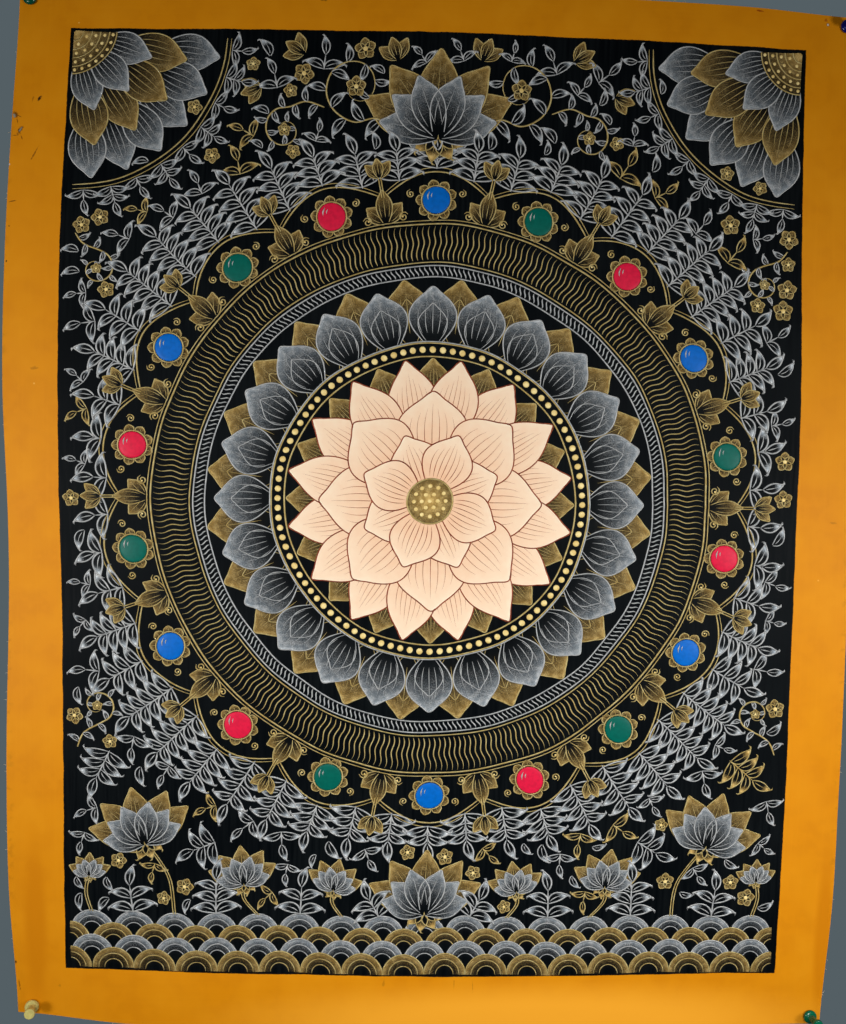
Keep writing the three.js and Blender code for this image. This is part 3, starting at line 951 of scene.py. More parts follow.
for radius in (BEAD_BAND - BEAD_BAND_HALF, BEAD_BAND + BEAD_BAND_HALF):
    ring("gold", MIDDLE, radius, 1.1)
for turn in around(BEADS):
    drop("gold", placed(MIDDLE), out_at(BEAD_BAND, turn), BEAD_RADIUS)
for level, size in enumerate(PETAL_ROWS):
    length = size["tip"] - PETAL_ROOT
    for turn in around(PETALS, size["start"]):
        to = placed(MIDDLE + out_at(PETAL_ROOT, turn), turn)
        petal(size["paint"], size["paint"], to, length, PETAL_WIDTH, level)
        inner = blade(0.7 * length, INNER_WIDTH, LOTUS_WIDTHS)
        brush(size["paint"], to, outline(inner), 0.6, level, thin=(0.1, 0.1))
ring("silver", MIDDLE, PETAL_ROOT + 0.5, 0.9, len(PETAL_ROWS))
for radius in (ROPE_BAND - ROPE_HALF, ROPE_BAND + ROPE_HALF):
    ring("silver", MIDDLE, radius, 1.0)
for turn in around(ROPE_STRANDS):
    brush("silver", placed(MIDDLE + out_at(ROPE_BAND, turn), turn), ROPE_STRAND, 0.9)
sway = RAY_RIPPLE * np.sin(np.linspace(0, 3 * math.pi, 9))
ripple = np.linspace(RAY_ROOT, RAY_TIP, 9) + 1j * sway
for turn in around(RAYS):
    brush("gold", placed(MIDDLE, turn), ripple, 0.8, thin=(0.1, 0.4))
ring("gold", MIDDLE, RAY_ROOT - RAY_MARGIN, 0.9)
ring("gold", MIDDLE, RAY_TIP + RAY_MARGIN, 1.2)
ring("gold", MIDDLE, RAY_TIP + 2.5 * RAY_MARGIN, 0.7)
lay_paint("petal_rings")

# The jewel ring is drops of bright enamel-like paint, each in a setting of small gold petals.
# A white flick of the brush gives each jewel its shine, and gold scallops and curls join the settings.
JEWELS = 18
JEWEL_RING = 212
JEWEL_RADIUS = 9.6
JEWEL_PAINTS = ["blue", "crimson", "green"]
JEWEL_SHINE = [
    dict(width=1.1, points=[-0.5 + 0.62j, -0.62 + 0.3j, -0.6 + 0.0j]),
    dict(width=0.9, points=[-0.3 + 0.5j, -0.36 + 0.34j, -0.36 + 0.16j]),
]
SCALLOP_FOOT = JEWEL_RING + 4
SCALLOP_RISE = 16
# Between two jewels stand three petals, and beside each jewel wind two curls.
BETWEEN_PETALS = [
    dict(lean=-46, length=17, level=0),
    dict(lean=46, length=17, level=0),
    dict(lean=0, length=23, level=1),
]
BETWEEN_WIDTH = 11
CURLS = [
    dict(radius=203, turn=5.6, lean=30, size=3.4),
    dict(radius=220, turn=4.9, lean=100, size=3.0),
]
ROUND_WIDTHS = [0.4, 0.68, 0.86, 0.97, 1.0, 0.95, 0.8, 0.52, 0.0]


def make_enamel(name, tint):
    """Thick glossy paint in one strong colour, a little deeper in places."""
    material, tree, shader = new_material(name)
    deep = colour(*(0.93 * part for part in tint))
    tone = blend(tree, ramp(tree, noise(tree, 3.0), 0.3, 0.65), deep, colour(*tint))
    set_inputs(tree, shader, {"Base Color": tone, "Roughness": 0.4, "Specular IOR Level": 0.1})
    return material


paints["blue"] = make_enamel("blue_enamel", (0, 104, 198))
paints["crimson"] = make_enamel("crimson_enamel", (226, 28, 66))
paints["green"] = make_enamel("green_enamel", (0, 98, 84))
paints["white"] = make_line_paint("white_line_paint", colour(246, 244, 238), colour(222, 220, 214), 0.5)


def jewel(paint, to, radius, claws=9, level=0):
    """A drop of colour, ringed with gold, in a rosette of small gold petals."""
    for turn in around(claws, 180 / claws):
        claw = placed_within(to, out_at(0.85 * radius, turn), turn)
        look = dict(veins=1, line=0.7, widths=ROUND_WIDTHS)
        petal("gold", "gold", claw, 0.66 * radius, 0.72 * radius, level, **look)
    drop(paint, to, 0, radius, level + 2)
    brush("gold", to, out_at(1.08 * radius, np.linspace(0, 360, 17)), 1.0, level + 1, thin=(0, 0))
    raised = level + 2 + 0.075 * radius / COAT
    for shine in JEWEL_SHINE:
        flick = radius * np.array(shine["points"])
        brush("white", to, flick, shine["width"], raised, thin=(0.5, 0.5))


def curl(ink, to, radius, turns=1.4, width=0.9, level=0):
    """A line that winds in on itself from 0, with a drop at its end."""
    way = np.linspace(0, 1, 12)
    points = radius * 1j + out_at(radius * (1 - 0.78 * way), -90 + 360 * turns * way)
    brush(ink, to, points, width, level, thin=(0.1, 0.1))
    drop(ink, to, points[-1], 0.2 * radius, level)


for k, turn in enumerate(around(JEWELS, 90)):
    jewel(JEWEL_PAINTS[k % 3], placed(MIDDLE + out_at(JEWEL_RING, turn)), JEWEL_RADIUS)
    between = turn + 180 / JEWELS
    root = MIDDLE + out_at(RAY_TIP + 5, between)
    for size in BETWEEN_PETALS:
        to = placed(root, between + size["lean"])
        petal("gold", "gold", to, size["length"], BETWEEN_WIDTH, size["level"], veins=3, line=0.8)
    for flip in (False, True):
        beside = placed_within(placed(MIDDLE, turn), 0, 0, 1, flip)
        for size in CURLS:
            root = out_at(size["radius"], size["turn"])
            curl("gold", placed_within(beside, root, size["lean"]), size["size"])
    bow_turns = np.linspace(-180, 180, 9) / JEWELS
    rise = SCALLOP_RISE * np.cos(np.radians(bow_turns * JEWELS / 2))
    bow = out_at(SCALLOP_FOOT + rise, bow_turns)
    brush("gold", placed(MIDDLE, turn), bow, 1.1, thin=(0.1, 0.1))
    brush("gold", placed(MIDDLE, turn), 1.012 * bow, 0.6, thin=(0.1, 0.1))
lay_paint("jewel_ring")

# Sprays of leaves stand out all round the ring, in silver line on black, with silver on curled tips.
# They are longest towards the corners, and a gold bud on a stem stands where two scallops meet.
SPRAYS = 54
SPRAY_LEAF = 17
# How far sprays reach: to each side, from the ring's middle, and further towards the corners
SPRAY_SIDE = 250
SPRAY_REACH = 262
CORNER_REACH = 22
LEAF_WIDTHS = [0.1, 0.5, 0.8, 0.96, 1.0, 0.92, 0.7, 0.38, 0.0]
SMALL_LEAF = 10
BUD_STEM = 15
BUD = 13
BUD_LEVEL = 6


def leaf(ink, to, length, width, level=0, bend=30, line=1.15):
    """A leaf with a curled tip: an outline, a midrib, and silver or gold powder at its tip."""
    rows = 8 if length > SMALL_LEAF else 6
    grid = blade(length, width, LEAF_WIDTHS, bend, rows=rows, columns=3)
    way = np.linspace(0, 1, len(grid))[:, None]
    film(ink, to, grid, np.clip((way - 0.55) / 0.3, 0, 1), level)
    brush(ink, to, outline(grid), line, level, thin=(0.04, 0.04))
    brush(ink, to, grid[1:-2, 1], 0.7 * line, level, thin=(0.1, 0.6))
    ahead = 0.14 * length * np.exp(1j * np.angle(grid[-1, 1] - grid[-2, 1]))
    curled = math.copysign(1, bend) * np.array([0, 0.05, 0.5, 1.1])
    hook = np.array([-0.7, 0.1, 0.7, 0.75]) + 1j * curled
    brush(ink, to, grid[-1, 1] + ahead * hook, 1.6 * line, level, thin=(0.5, 0.5))


def spray(ink, to, length, leaf_length, level=0, line=1.15):
    """A stem with pairs of curling leaves along it and a last leaf at its end."""
    stem = max(length - 0.85 * leaf_length, 0.25 * length)
    pairs = max(round(1.9 * stem / leaf_length), 1)
    brush(ink, to, [0, 0.5 * stem, stem], 1.1, level, thin=(0.05, 0.4))
    for k in range(pairs):
        share = k / pairs
        size = leaf_length * (1 - 0.2 * share)
        for flip in (False, True):
            side = placed_within(to, 0, 0, 1, flip)
            twig = placed_within(side, stem * (0.05 + 0.9 * share), 44 - 12 * share)
            leaf(ink, twig, size, 0.42 * size, level + k % 2, 30, line)
    end = placed_within(to, 0.94 * stem)
    leaf(ink, end, 0.85 * leaf_length, 0.38 * leaf_length, level + 2, 12, line)


def bud(to, length, level=0):
    """A flower just opening: two outer petals and one before them."""
    for k, turn in enumerate((42, -42, 0)):
        root = placed_within(to, 0, turn)
        petal("gold", "gold", root, length, 0.56 * length, level + k // 2, veins=3, line=0.85)


def ring_edge(turn):
    """How far the scalloped ring reaches in a direction, in degrees."""
    return SCALLOP_FOOT + SCALLOP_RISE * abs(math.cos(math.radians(turn - 90) * JEWELS / 2))


for k, turn in enumerate(around(SPRAYS, 90)):
    root = ring_edge(turn) + 2
    to_side = SPRAY_SIDE / max(abs(math.cos(math.radians(turn))), 0.1)
    to_corner = SPRAY_REACH + CORNER_REACH * math.sin(math.radians(2 * turn)) ** 2
    room = min(to_side, to_corner)
    spray("silver", placed(MIDDLE + out_at(root, turn), turn), room - root, SPRAY_LEAF, 3 * (k % 2))
for turn in around(JEWELS, 90 + 180 / JEWELS):
    foot = placed(MIDDLE + out_at(ring_edge(turn), turn), turn)
    for offset in (-0.8j, 0.8j):
        stem = np.array([0, 0.5 * BUD_STEM, BUD_STEM]) + offset
        brush("gold", foot, stem, 0.8, BUD_LEVEL, thin=(0.02, 0.02))
    bud(placed_within(foot, BUD_STEM), BUD, BUD_LEVEL)
lay_paint("leaf_sprays")

# Each upper corner has a quarter of a great lotus: rows of dusted petals round a beaded heart.
# A double gold line edges it, and small silver sprays stand out from that.
FAN_ROWS = [
    dict(root=64, tip=104, width=26, count=6, paint="silver"),
    dict(root=40, tip=82, width=26, count=4, paint="gold"),
    dict(root=22, tip=58, width=22, count=3, paint="silver"),
]
FAN_HEART = 30
FAN_BEADS = [
    dict(radius=10, count=2),
    dict(radius=16, count=4),
    dict(radius=22, count=6),
    dict(radius=27.5, count=8),
]
FAN_BEAD_RADIUS = 1.2
FAN_RINGS = [7, 13, 19, 25, FAN_HEART]
FAN_HEART_LEVEL = 2 * len(FAN_ROWS)
FAN_EDGE = 108
FAN_SPRAYS = 9
FAN_INSET = 2.5
# What stands on one side of the picture stands mirrored on the other.
PICTURE_SIDES = [placed(0), placed(0, 180, 1, True)]
picture_corner = FAN_INSET - PICTURE_WIDTH / 2 - 1j * (TOP_BORDER + FAN_INSET)


def corner_fan(to):
    """A quarter lotus at 0, opening between the real axis and the downward one."""
    for row, size in enumerate(FAN_ROWS):
        length = size["tip"] - size["root"]
        widest = size["root"] + 0.45 * length
        lean = math.degrees(math.asin((size["width"] / 2 + 0.5) / widest))
        for k, turn in enumerate(np.linspace(-lean, lean - 90, size["count"])):
            set_down = placed_within(to, out_at(size["root"], turn), turn)
            petal(size["paint"], size["paint"], set_down, length, size["width"], 2 * row + k % 2)
    quarter = np.linspace(-2, -88, 13)
    heart = np.linspace(1, FAN_HEART, 8)[:, None] * out_at(1, quarter)[None, :]
    film("gold", to, heart, np.linspace(0.9, 0.2, 8)[:, None], FAN_HEART_LEVEL)
    for radius in FAN_RINGS:
        brush("gold", to, out_at(radius, quarter), 0.9, FAN_HEART_LEVEL, thin=(0, 0))
    for size in FAN_BEADS:
        for k in range(size["count"]):
            at = out_at(size["radius"], -90 * (k + 0.5) / size["count"])
            drop("gold", to, at, FAN_BEAD_RADIUS, FAN_HEART_LEVEL)
    brush("gold", to, out_at(FAN_EDGE, quarter), 1.0, thin=(0.05, 0.05))
    brush("gold", to, out_at(FAN_EDGE + 3, quarter), 0.6, thin=(0.05, 0.05))
    for k, turn in enumerate(np.linspace(-6, -84, FAN_SPRAYS)):
        root = placed_within(to, out_at(FAN_EDGE + 4, turn), turn)
        spray("silver", root, 18 + 5 * (k % 2), 12, 3 * (k % 2), 0.85)


for side in PICTURE_SIDES:
    corner_fan(placed_within(side, picture_corner))
lay_paint("corner_fans")

# A lotus opens at the top of the picture between scrolling vines in gold, with silver leaves.
# Smaller scrolls stand beside the great ring. All are brush lines and powder on the black ground.
TOP_LOTUS = -98j
TOP_LOTUS_SIZE = 58
SCROLLS = [
    dict(across=58, up=-66, radius=26, start=-125, turns=1.35, stem=[9 - 92j, 26 - 97j]),
    dict(across=107, up=-97, radius=16, start=100, turns=-1.2, stem=[80 - 81j, 93 - 77j]),
    dict(across=234, up=-196, radius=13, start=100, turns=1.2, stem=[249 - 172j, 243 - 179j]),
    dict(across=235, up=-506, radius=13, start=-100, turns=-1.2, stem=[250 - 536j, 245 - 526j]),
]
BUDS = [
    dict(at=30 - 46j, turn=70, length=15),
    dict(at=96 - 44j, turn=30, length=14),
    dict(at=126 - 68j, turn=-20, length=13),
]


def open_lotus(to, size, level=0):
    """A lotus from the side: tall gold petals behind, shorter silver ones before them."""
    for k, turn in enumerate((64, -64, 36, -36, 0)):
        petal("gold", "gold", placed_within(to, 0, 90 + turn), size, 0.5 * size, level + k // 2)
    for k, turn in enumerate((78, -78, 50, -50, 20, -20)):
        front = placed_within(to, 0, 90 + turn)
        petal("silver", "silver", front, 0.72 * size, 0.4 * size, level + 3 + k // 2, veins=3)
    for turn in (-60, -20, 20, 60):
        leaf("gold", placed_within(to, 0, -90 + turn), 0.34 * size, 0.2 * size, level + 2, 8, 0.8)


def vine(ink, leaf_ink, to, points, leaf_length, gap, level=0):
    """A stem with leaves on its two sides by turns, smaller towards its end."""
    brush(ink, to, points, 1.2, level, thin=(0.03, 0.5))
    dense = along(np.asarray(points), np.linspace(0, 1, 40 * len(points)))
    run = np.append(0, np.cumsum(np.abs(np.diff(dense))))
    for k, reach in enumerate(np.arange(0.6 * gap, 0.93 * run[-1], gap)):
        at = int(np.searchsorted(run, reach))
        way = math.degrees(np.angle(dense[at] - dense[at - 1]))
        side = 1 if k % 2 else -1
        size = leaf_length * (1 - 0.45 * reach / run[-1])
        twig = placed_within(to, dense[at], way + 50 * side, 1, side < 0)
        leaf(leaf_ink, twig, size, 0.42 * size, level + k % 2, 26, 0.85)


def spiral(size):
    """A scroll's stem, from where it leaves its root, winding in to its middle."""
    way = np.linspace(0, 1, 14)
    wound = out_at(size["radius"] * (1 - 0.78 * way), size["start"] + 360 * size["turns"] * way)
    return np.concatenate([size["stem"], size["across"] + 1j * size["up"] + wound])


def blossom(to, radius, level=0):
    """A small five-petalled flower with a drop at its heart."""
    for turn in around(5, 90):
        look = dict(veins=1, line=0.7, widths=ROUND_WIDTHS)
        petal("gold", "gold", placed_within(to, 0, turn), radius, 0.85 * radius, level, **look)
    drop("gold", to, 0, 0.24 * radius, level + 1)


open_lotus(placed(TOP_LOTUS), TOP_LOTUS_SIZE)
for side in PICTURE_SIDES:
    for size in SCROLLS:
        radius = size["radius"]
        vine("gold", "silver", side, spiral(size), 0.66 * radius, 0.5 * radius)
        blossom(placed_within(side, size["across"] + 1j * size["up"]), 0.27 * radius, 3)
    for size in BUDS:
        bud(placed_within(side, size["at"], size["turn"]), size["length"])
lay_paint("top_scrolls")

# Along the foot of the picture runs a band of scaled waves, in rows of silver and of gold by turns.
# Lotus plants grow from it, with gold stems and flowers and silver leaves.
WAVE = 15
WAVE_ROWS = 4
WAVE_RISE = 9
WAVES_ASIDE = 8
WAVE_MARGIN = 4
WAVE_ARCS = [dict(share=1.0, width=1.1), dict(share=0.72, width=0.8), dict(share=0.44, width=0.7)]
WATERLINE = -698.5
WATER_LOTUS = -652j
WATER_LOTUS_SIZE = 44
PLANT_FOOT = -657j
PLANTS = [
    dict(root=180, bend=-7, tip=203 - 604j, size=40, turn=-14),
    dict(root=120, bend=5, tip=131 - 634j, size=27, turn=-6),
    dict(root=60, bend=4, tip=66 - 637j, size=22, turn=10),
    dict(root=240, bend=3, tip=241 - 630j, size=16, turn=0),
]
WATER_SPRAYS = [
    dict(root=150, turn=88, length=42),
    dict(root=210, turn=84, length=36),
    dict(root=90, turn=92, length=36),
    dict(root=33, turn=62, length=30),
]


def wave_scale(paint, at, first, last, level):
    """One scale of water: powder under its crest, and three arcs."""
    turns = np.linspace(first, last, 11)
    body = np.linspace(0.25, 1, 5)[:, None] * out_at(WAVE, turns)[None, :]
    film(paint, placed(at), body, 0.75 * np.linspace(0, 1, 5)[:, None] ** 1.7, level)
    for arc in WAVE_ARCS:
        points = out_at(arc["share"] * WAVE, turns)
        brush(paint, placed(at), points, arc["width"], level, thin=(0.1, 0.1))


half = PICTURE_WIDTH / 2 - WAVE_MARGIN
for row in range(WAVE_ROWS):
    up = 1j * (WATERLINE + WAVE_RISE * (WAVE_ROWS - 1 - row))
    paint = "gold" if row % 2 else "silver"
    for across in 2 * WAVE * np.arange(-WAVES_ASIDE, WAVES_ASIDE + 1) + WAVE * (row % 2):
        if across < half - WAVE:
            wave_scale(paint, across + up, 0, 180, row)
    if row % 2:
        wave_scale(paint, half + up, 90, 180, row)
        wave_scale(paint, -half + up, 0, 90, row)
open_lotus(placed(WATER_LOTUS), WATER_LOTUS_SIZE, WAVE_ROWS)
for side in PICTURE_SIDES:
    for plant in PLANTS:
        root = plant["root"] + PLANT_FOOT
        bow = root + 0.5 * (plant["tip"] - root) + plant["bend"]
        for offset in (-0.9, 0.9):
            stem = np.array([root, bow, plant["tip"]]) + offset
            brush("gold", side, stem, 0.8, WAVE_ROWS, thin=(0.02, 0.02))
        open_lotus(placed_within(side, plant["tip"], plant["turn"]), plant["size"], WAVE_ROWS)
    for size in WATER_SPRAYS:
        root = placed_within(side, size["root"] + PLANT_FOOT, size["turn"])
        spray("silver", root, size["length"], SPRAY_LEAF, WAVE_ROWS)
lay_paint("lotus_water")

# Small sprigs and blossoms fill what is left of the black ground, as large as each clear place allows.
# They are drawn last, with the same brush and paints, in silver and gold.
FILL_PITCH = 3
FILL_MARGIN = 3
SMALLEST_FILL = 4.6
LARGEST_FILL = 19
SPRIG_FROM = 7.5
FILL_FROM = 236
GAP_TO_PAINT = 1.2
GAP_TO_FILL = 0.4


def clear_places():
    """Middles and radii of clear round places on the ground, the largest first."""
    painted = np.concatenate(covered)
    tree = KDTree(len(painted))
    for number, at in enumerate(painted):
        tree.insert((at.real, at.imag, 0), number)
    tree.balance()
    wide = PICTURE_WIDTH / 2 - FILL_MARGIN
    across = np.arange(-wide, wide, FILL_PITCH)
    up = -TOP_BORDER - np.arange(FILL_MARGIN, PICTURE_HEIGHT - FILL_MARGIN, FILL_PITCH)
    spots = (across[None, :] + 1j * up[:, None]).ravel()
    spots = spots[np.abs(spots - MIDDLE) > FILL_FROM]
    clear = np.array([tree.find((spot.real, spot.imag, 0))[2] for spot in spots]) - GAP_TO_PAINT
    to_edge = np.minimum(wide - np.abs(spots.real), -TOP_BORDER - FILL_MARGIN - spots.imag)
    clear = np.minimum(clear, to_edge)
    while clear.max() > SMALLEST_FILL:
        best = int(clear.argmax())
        radius = min(clear[best], LARGEST_FILL)
        yield spots[best], radius
        clear = np.minimum(clear, np.abs(spots - spots[best]) - radius - GAP_TO_FILL)


for k, (at, radius) in enumerate(clear_places()):
    turn = math.degrees(np.angle(at - MIDDLE)) + 35 * math.sin(2.4 * k)
    root = placed(at - out_at(radius, turn), turn)
    if radius > SPRIG_FROM:
        ink = "silver" if k % 4 else "gold"
        spray(ink, root, 2 * radius, min(1.25 * radius, SPRAY_LEAF), line=0.85)
    elif k % 2:
        leaf("silver", root, 2 * radius, 0.9 * radius, bend=34, line=0.8)
    else:
        blossom(placed(at, turn), radius)
lay_paint("ground_fill")

# Where the scissors cut the cloth, ends of cotton thread stand out of its edge.
# They are unpainted, a fraction of a millimetre thick, and most are about a millimetre long.
EDGE_THREADS = 110
THREAD_RADIUS = 0.16
THREAD_SECTION = {"Sides": 4, "Crown": 1.0}
SHORTEST_THREAD = 0.8
LONGEST_THREAD = 2.8
THREAD_SEED = 7


def edge_place(side, share):
    """A place on the cut edge: which side it is on, and its share of the way along that side."""
    share = np.array(share)
    if side in ("left", "right"):
        return cut_line(side, share) - 1j * CANVAS_HEIGHT * share
    return CANVAS_WIDTH * (share - 0.5) + 1j * cut_line(side, share)


outward = {"left": 180, "right": 0, "top": 90, "bottom": -90}
chance = np.random.default_rng(THREAD_SEED)
threads = []
for side in chance.choice(list(outward), EDGE_THREADS):
    root = edge_place(side, chance.uniform(0.03, 0.97))
    length = SHORTEST_THREAD + (LONGEST_THREAD - SHORTEST_THREAD) * chance.random() ** 3
    lean = outward[side] + chance.uniform(-50, 50)
    bend = out_at(1, chance.uniform(-40, 40))
    path = root + out_at(length, lean) * np.array([-0.3, 0.2, 0.6 * bend**0.5, bend])
    half = THREAD_RADIUS * np.array([1, 1, 0.8, 0.5])
    threads.append((path, half, -0.5 * CANVAS_THICKNESS / COAT))
values = {**THREAD_SECTION, "Paint": raw_cotton}
add_to_canvas("edge_threads", swept_lines(threads, values))

# The push pins are hard glossy plastic, moulded in one piece with a flange, a waist and a cap.
# A drawn steel needle is set in each head and goes through the canvas, and holds it up.
PIN_TURNS = 40
FLANGE_RADIUS = 4.9
HEAD_HEIGHT = 13.28
# A head's outline from the middle of its base to its top: radius, and height as the imaginary part.
FLANGE = [0, 4.1, 4.72 + 0.18j, FLANGE_RADIUS + 0.75j, 4.66 + 1.4j, 4.05 + 2.0j, 3.2 + 2.55j]
WAIST = [2.6 + 3.3j, 2.3 + 4.4j, 2.22 + 6j, 2.3 + 7.6j, 2.6 + 8.9j]
CAP = [3.15 + 9.8j, 3.62 + 10.5j, 3.8 + 11.3j, 3.78 + 12.3j, 3.5 + 12.95j, 2.95 + 13.2j, 1j * HEAD_HEIGHT]
PIN_PROFILE = FLANGE + WAIST + CAP
PIN_COLOURS = {
    "top_left": (0, 84, 60),
    "top_right": (2, 10, 122),
    "bottom_left": (220, 206, 122),
    "bottom_right": (0, 106, 74),
}


def make_plastic(name, tint):
    """Moulded plastic: an even glossy colour, faintly cloudy, with fine rub marks."""
    material, tree, shader = new_material(name)
    place = add_node(tree, "ShaderNodeTexCoord").outputs["Object"]
    cloudy = add_node(tree, "ShaderNodeTexNoise", {"Vector": place, "Scale": 380.0}).outputs["Fac"]
    fine = {"Vector": place, "Scale": 1500.0, "Detail": 4.0}
    rubbed = add_node(tree, "ShaderNodeTexNoise", fine).outputs["Fac"]
    dark = colour(*(0.92 * part for part in tint))
    bump = add_node(tree, "ShaderNodeBump", {"Height": rubbed, "Strength": 0.06, "Distance": 0.05 * MM})
    inputs = {
        "Base Color": blend(tree, ramp(tree, cloudy, 0.35, 0.7), dark, colour(*tint)),
        "Roughness": ramp(tree, rubbed, 0.4, 0.75, 0.2, 0.34),
        "Normal": bump.outputs[0],
        "Coat Weight": 0.25,
        "Specular IOR Level": 0.35,
    }
    set_inputs(tree, shader, inputs)
    return material


def make_needle_steel():
    """Drawn steel, with its grain along the needle."""
    material, tree, shader = new_material("needle_steel")
    place = add_node(tree, "ShaderNodeTexCoord").outputs["Object"]
    drawn_out = add_node(tree, "ShaderNodeMapping", {"Vector": place, "Scale": (4000, 200, 4000)})
    inputs = {"Vector": drawn_out.outputs[0], "Scale": 1.0}
    grain = add_node(tree, "ShaderNodeTexNoise", inputs).outputs["Fac"]
    tone = blend(tree, ramp(tree, grain, 0.3, 0.7), colour(170, 172, 176), colour(205, 206, 208))
    rough = ramp(tree, grain, 0.3, 0.7, 0.22, 0.4)
    set_inputs(tree, shader, {"Base Color": tone, "Roughness": rough, "Metallic": 1.0})
    return material


def make_pin_head(pin):
    """A head turned from its profile, standing on the canvas and leaning as its needle does."""
    right = math.radians(pin["right"])
    raised = math.radians(pin["raised"])
    outward = np.array([math.sin(right), -1, math.sin(raised)])
    outward /= np.linalg.norm(outward)
    clear = BACK_GAP + FLANGE_RADIUS * math.sqrt(1 - outward[1] ** 2)
    across, up, lift = np.array([[pin["across"]], [pin["up"]], [0.0]])
    foot = hang(across, up, lift)[0] + MM * clear * outward
    sideways = np.cross(outward, [0, 0, 1])
    sideways /= np.linalg.norm(sideways)
    upward = np.cross(sideways, outward)
    profile = along(PIN_PROFILE, np.linspace(0, 1, 4 * len(PIN_PROFILE)))[1:-1]
    angle = np.linspace(0, math.tau, PIN_TURNS, endpoint=False)
    spokes = np.cos(angle)[:, None] * sideways + np.sin(angle)[:, None] * upward
    radius, height = profile.real[:, None, None], profile.imag[:, None, None]
    rings = foot + MM * (radius * spokes + height * outward)
    points = np.concatenate([rings.reshape(-1, 3), [foot, foot + MM * HEAD_HEIGHT * outward]])
    number = np.arange(rings.shape[0] * PIN_TURNS).reshape(-1, PIN_TURNS)
    after = np.roll(number, -1, axis=1)
    quads = np.stack([number[:-1], after[:-1], after[1:], number[1:]], axis=-1).reshape(-1, 4)
    base, cap = number.size, number.size + 1
    faces = quads.tolist()
    faces += [(after[0, k], number[0, k], base) for k in range(PIN_TURNS)]
    faces += [(number[-1, k], after[-1, k], cap) for k in range(PIN_TURNS)]
    mesh = bpy.data.meshes.new(f"push_pin_{pin['name']}")
    mesh.from_pydata(points, [], faces)
    mesh.polygons.foreach_set("use_smooth", np.ones(len(faces), dtype=bool))
    return show(mesh.name, mesh)


needle_steel = make_needle_steel()
for pin in PINS:
    head = make_pin_head(pin)
    head.data.materials.append(make_plastic(f"pin_plastic_{pin['name']}", PIN_COLOURS[pin["name"]]))
    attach(head, "root")
    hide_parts(f"pin_head_{pin['name']}")
    needle = bpy.data.objects[f"pin_needle_{pin['name']}"]
    needle.data.materials.clear()
    needle.data.materials.append(needle_steel)

# The stage: a pale floor well below, with a lamp of its own, soft lamps before and behind the canvas,
# and the camera at the viewing angle, a little left of the middle and looking slightly down.
FLOOR_BELOW = 1.9
FLOOR_SIDE = 3
FLOOR_BACK = 0.4
# Where each lamp is and what it is aimed at, its width and height, all in metres, and its beam in degrees
LAMPS = [
    dict(name="low", at=(0.16, -1.25, -0.15), aim=(0.13, 0, -0.75), size=(0.9, 0.3), beam=53, watts=1.23),
    dict(name="left", at=(-0.9, -1.1, -0.5), aim=(-0.25, 0, -0.35), size=(0.25, 0.25), beam=60, watts=1.25),
    dict(name="right", at=(0.9, -1.1, -0.45), aim=(0.25, 0, -0.4), size=(0.25, 0.25), beam=60, watts=1.1),
    dict(name="top", at=(0, -0.7, 0.9), aim=(0, 0, 0), size=(0.2, 0.2), beam=90, watts=0.12),
    dict(name="back", at=(0.5, 1.6, 0.3), aim=(0, 0, -0.37), size=(1.0, 1.0), beam=120, watts=8),
    dict(name="floor", at=(0, -1.3, -0.85), aim=(0, -1.3, -FLOOR_BELOW), size=(5, 3.4), beam=150, watts=42),
]
CAMERA_AT = (-0.0222, -0.6858, -0.3369)
LOOKS_RIGHT = 1.283
LOOKS_DOWN = 2.178
ROLLS = 1.166
IMAGE_HEIGHT = 1024
FOCAL_PIXELS = 950
BACKGROUND = colour(84, 95, 100)
FILL_LIGHT = colour(200, 205, 210)
FILL_STRENGTH = 0.055


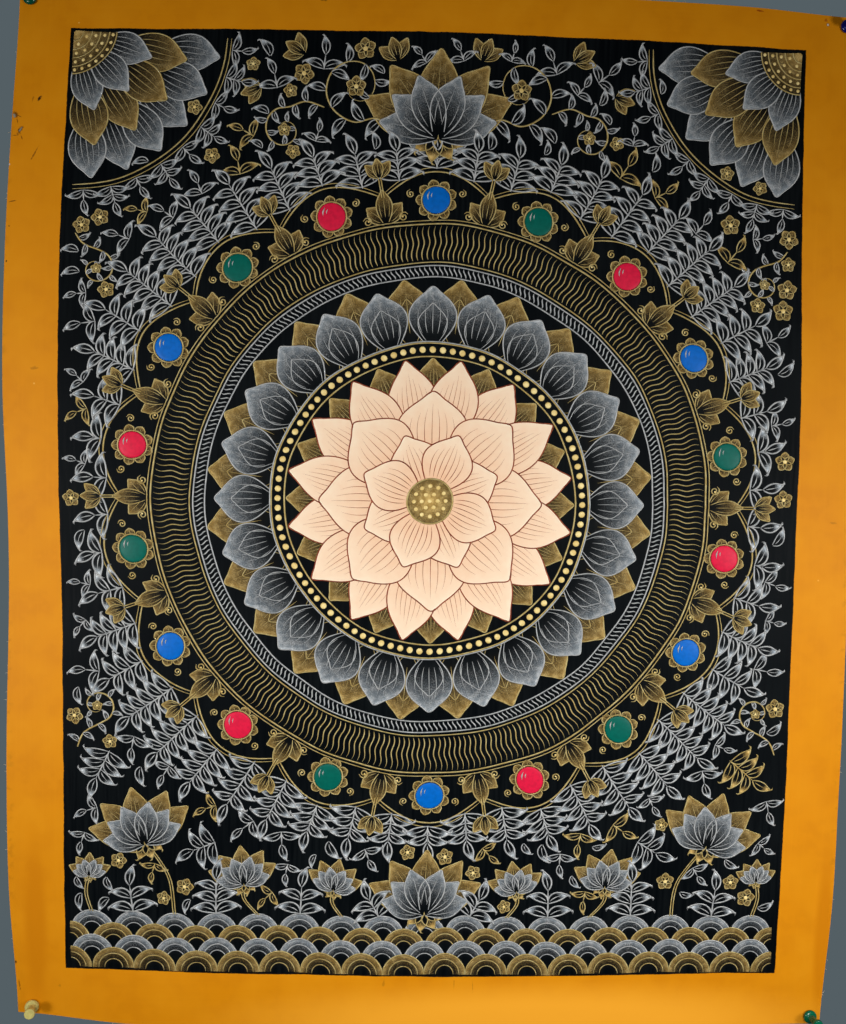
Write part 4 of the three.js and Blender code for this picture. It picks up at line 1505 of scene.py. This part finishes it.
def make_floor():
    """A plain pale floor that throws no light back onto the canvas."""
    corners = [(-FLOOR_SIDE, -FLOOR_SIDE), (FLOOR_SIDE, -FLOOR_SIDE)]
    corners += [(FLOOR_SIDE, FLOOR_BACK), (-FLOOR_SIDE, FLOOR_BACK)]
    mesh = bpy.data.meshes.new("floor")
    mesh.from_pydata([(*corner, -FLOOR_BELOW) for corner in corners], [], [(0, 1, 2, 3)])
    material, tree, shader = new_material("pale_floor")
    set_inputs(tree, shader, {"Base Color": colour(236, 234, 230), "Roughness": 0.8})
    mesh.materials.append(material)
    floor = show("floor", mesh)
    floor.visible_diffuse = False
    floor.visible_glossy = False
    return floor


def make_lamp(name, at, aim, size, beam, watts):
    """A soft box lamp, with a grid that keeps its light to a beam."""
    lamp = bpy.data.lights.new(f"{name}_lamp", "AREA")
    lamp.shape = "RECTANGLE"
    lamp.size, lamp.size_y = size
    lamp.spread = math.radians(beam)
    lamp.energy = watts
    holder = show(lamp.name, lamp)
    holder.visible_camera = False
    holder.location = at
    across, ahead, upward = np.array(aim) - np.array(at)
    tilt = math.atan2(upward, np.hypot(across, ahead))
    holder.rotation_euler = (math.pi / 2 + tilt, 0, -math.atan2(across, ahead))


make_floor()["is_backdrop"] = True
for lamp in LAMPS:
    make_lamp(**lamp)

world = bpy.data.worlds.new("studio")
bpy.context.scene.world = world
world.use_nodes = True
world_tree = world.node_tree
world_tree.nodes.clear()
seen = add_node(world_tree, "ShaderNodeBackground", {"Color": BACKGROUND, "Strength": 1.0})
fill_inputs = {"Color": FILL_LIGHT, "Strength": FILL_STRENGTH}
fill = add_node(world_tree, "ShaderNodeBackground", fill_inputs)
direct = add_node(world_tree, "ShaderNodeLightPath").outputs["Is Camera Ray"]
by_ray = {0: direct, 1: fill.outputs[0], 2: seen.outputs[0]}
either = add_node(world_tree, "ShaderNodeMixShader", by_ray)
add_node(world_tree, "ShaderNodeOutputWorld", {"Surface": either.outputs[0]})
bpy.context.scene.view_settings.view_transform = "Standard"

camera = show("camera", bpy.data.cameras.new("camera"))
camera.data.lens = camera.data.sensor_width * FOCAL_PIXELS / IMAGE_HEIGHT
camera.data.clip_start = 0.01
camera.location = CAMERA_AT
turn = Matrix.Rotation(math.radians(-LOOKS_RIGHT), 3, "Z")
tilt = Matrix.Rotation(math.radians(90 - LOOKS_DOWN), 3, "X")
roll = Matrix.Rotation(math.radians(ROLLS), 3, "Z")
camera.rotation_euler = (turn @ tilt @ roll).to_euler()
bpy.context.scene.camera = camera

boxes = {"cad": cad_box, "visual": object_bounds()}
{name: [[float(x) for x in corner] for corner in box] for name, box in boxes.items()}
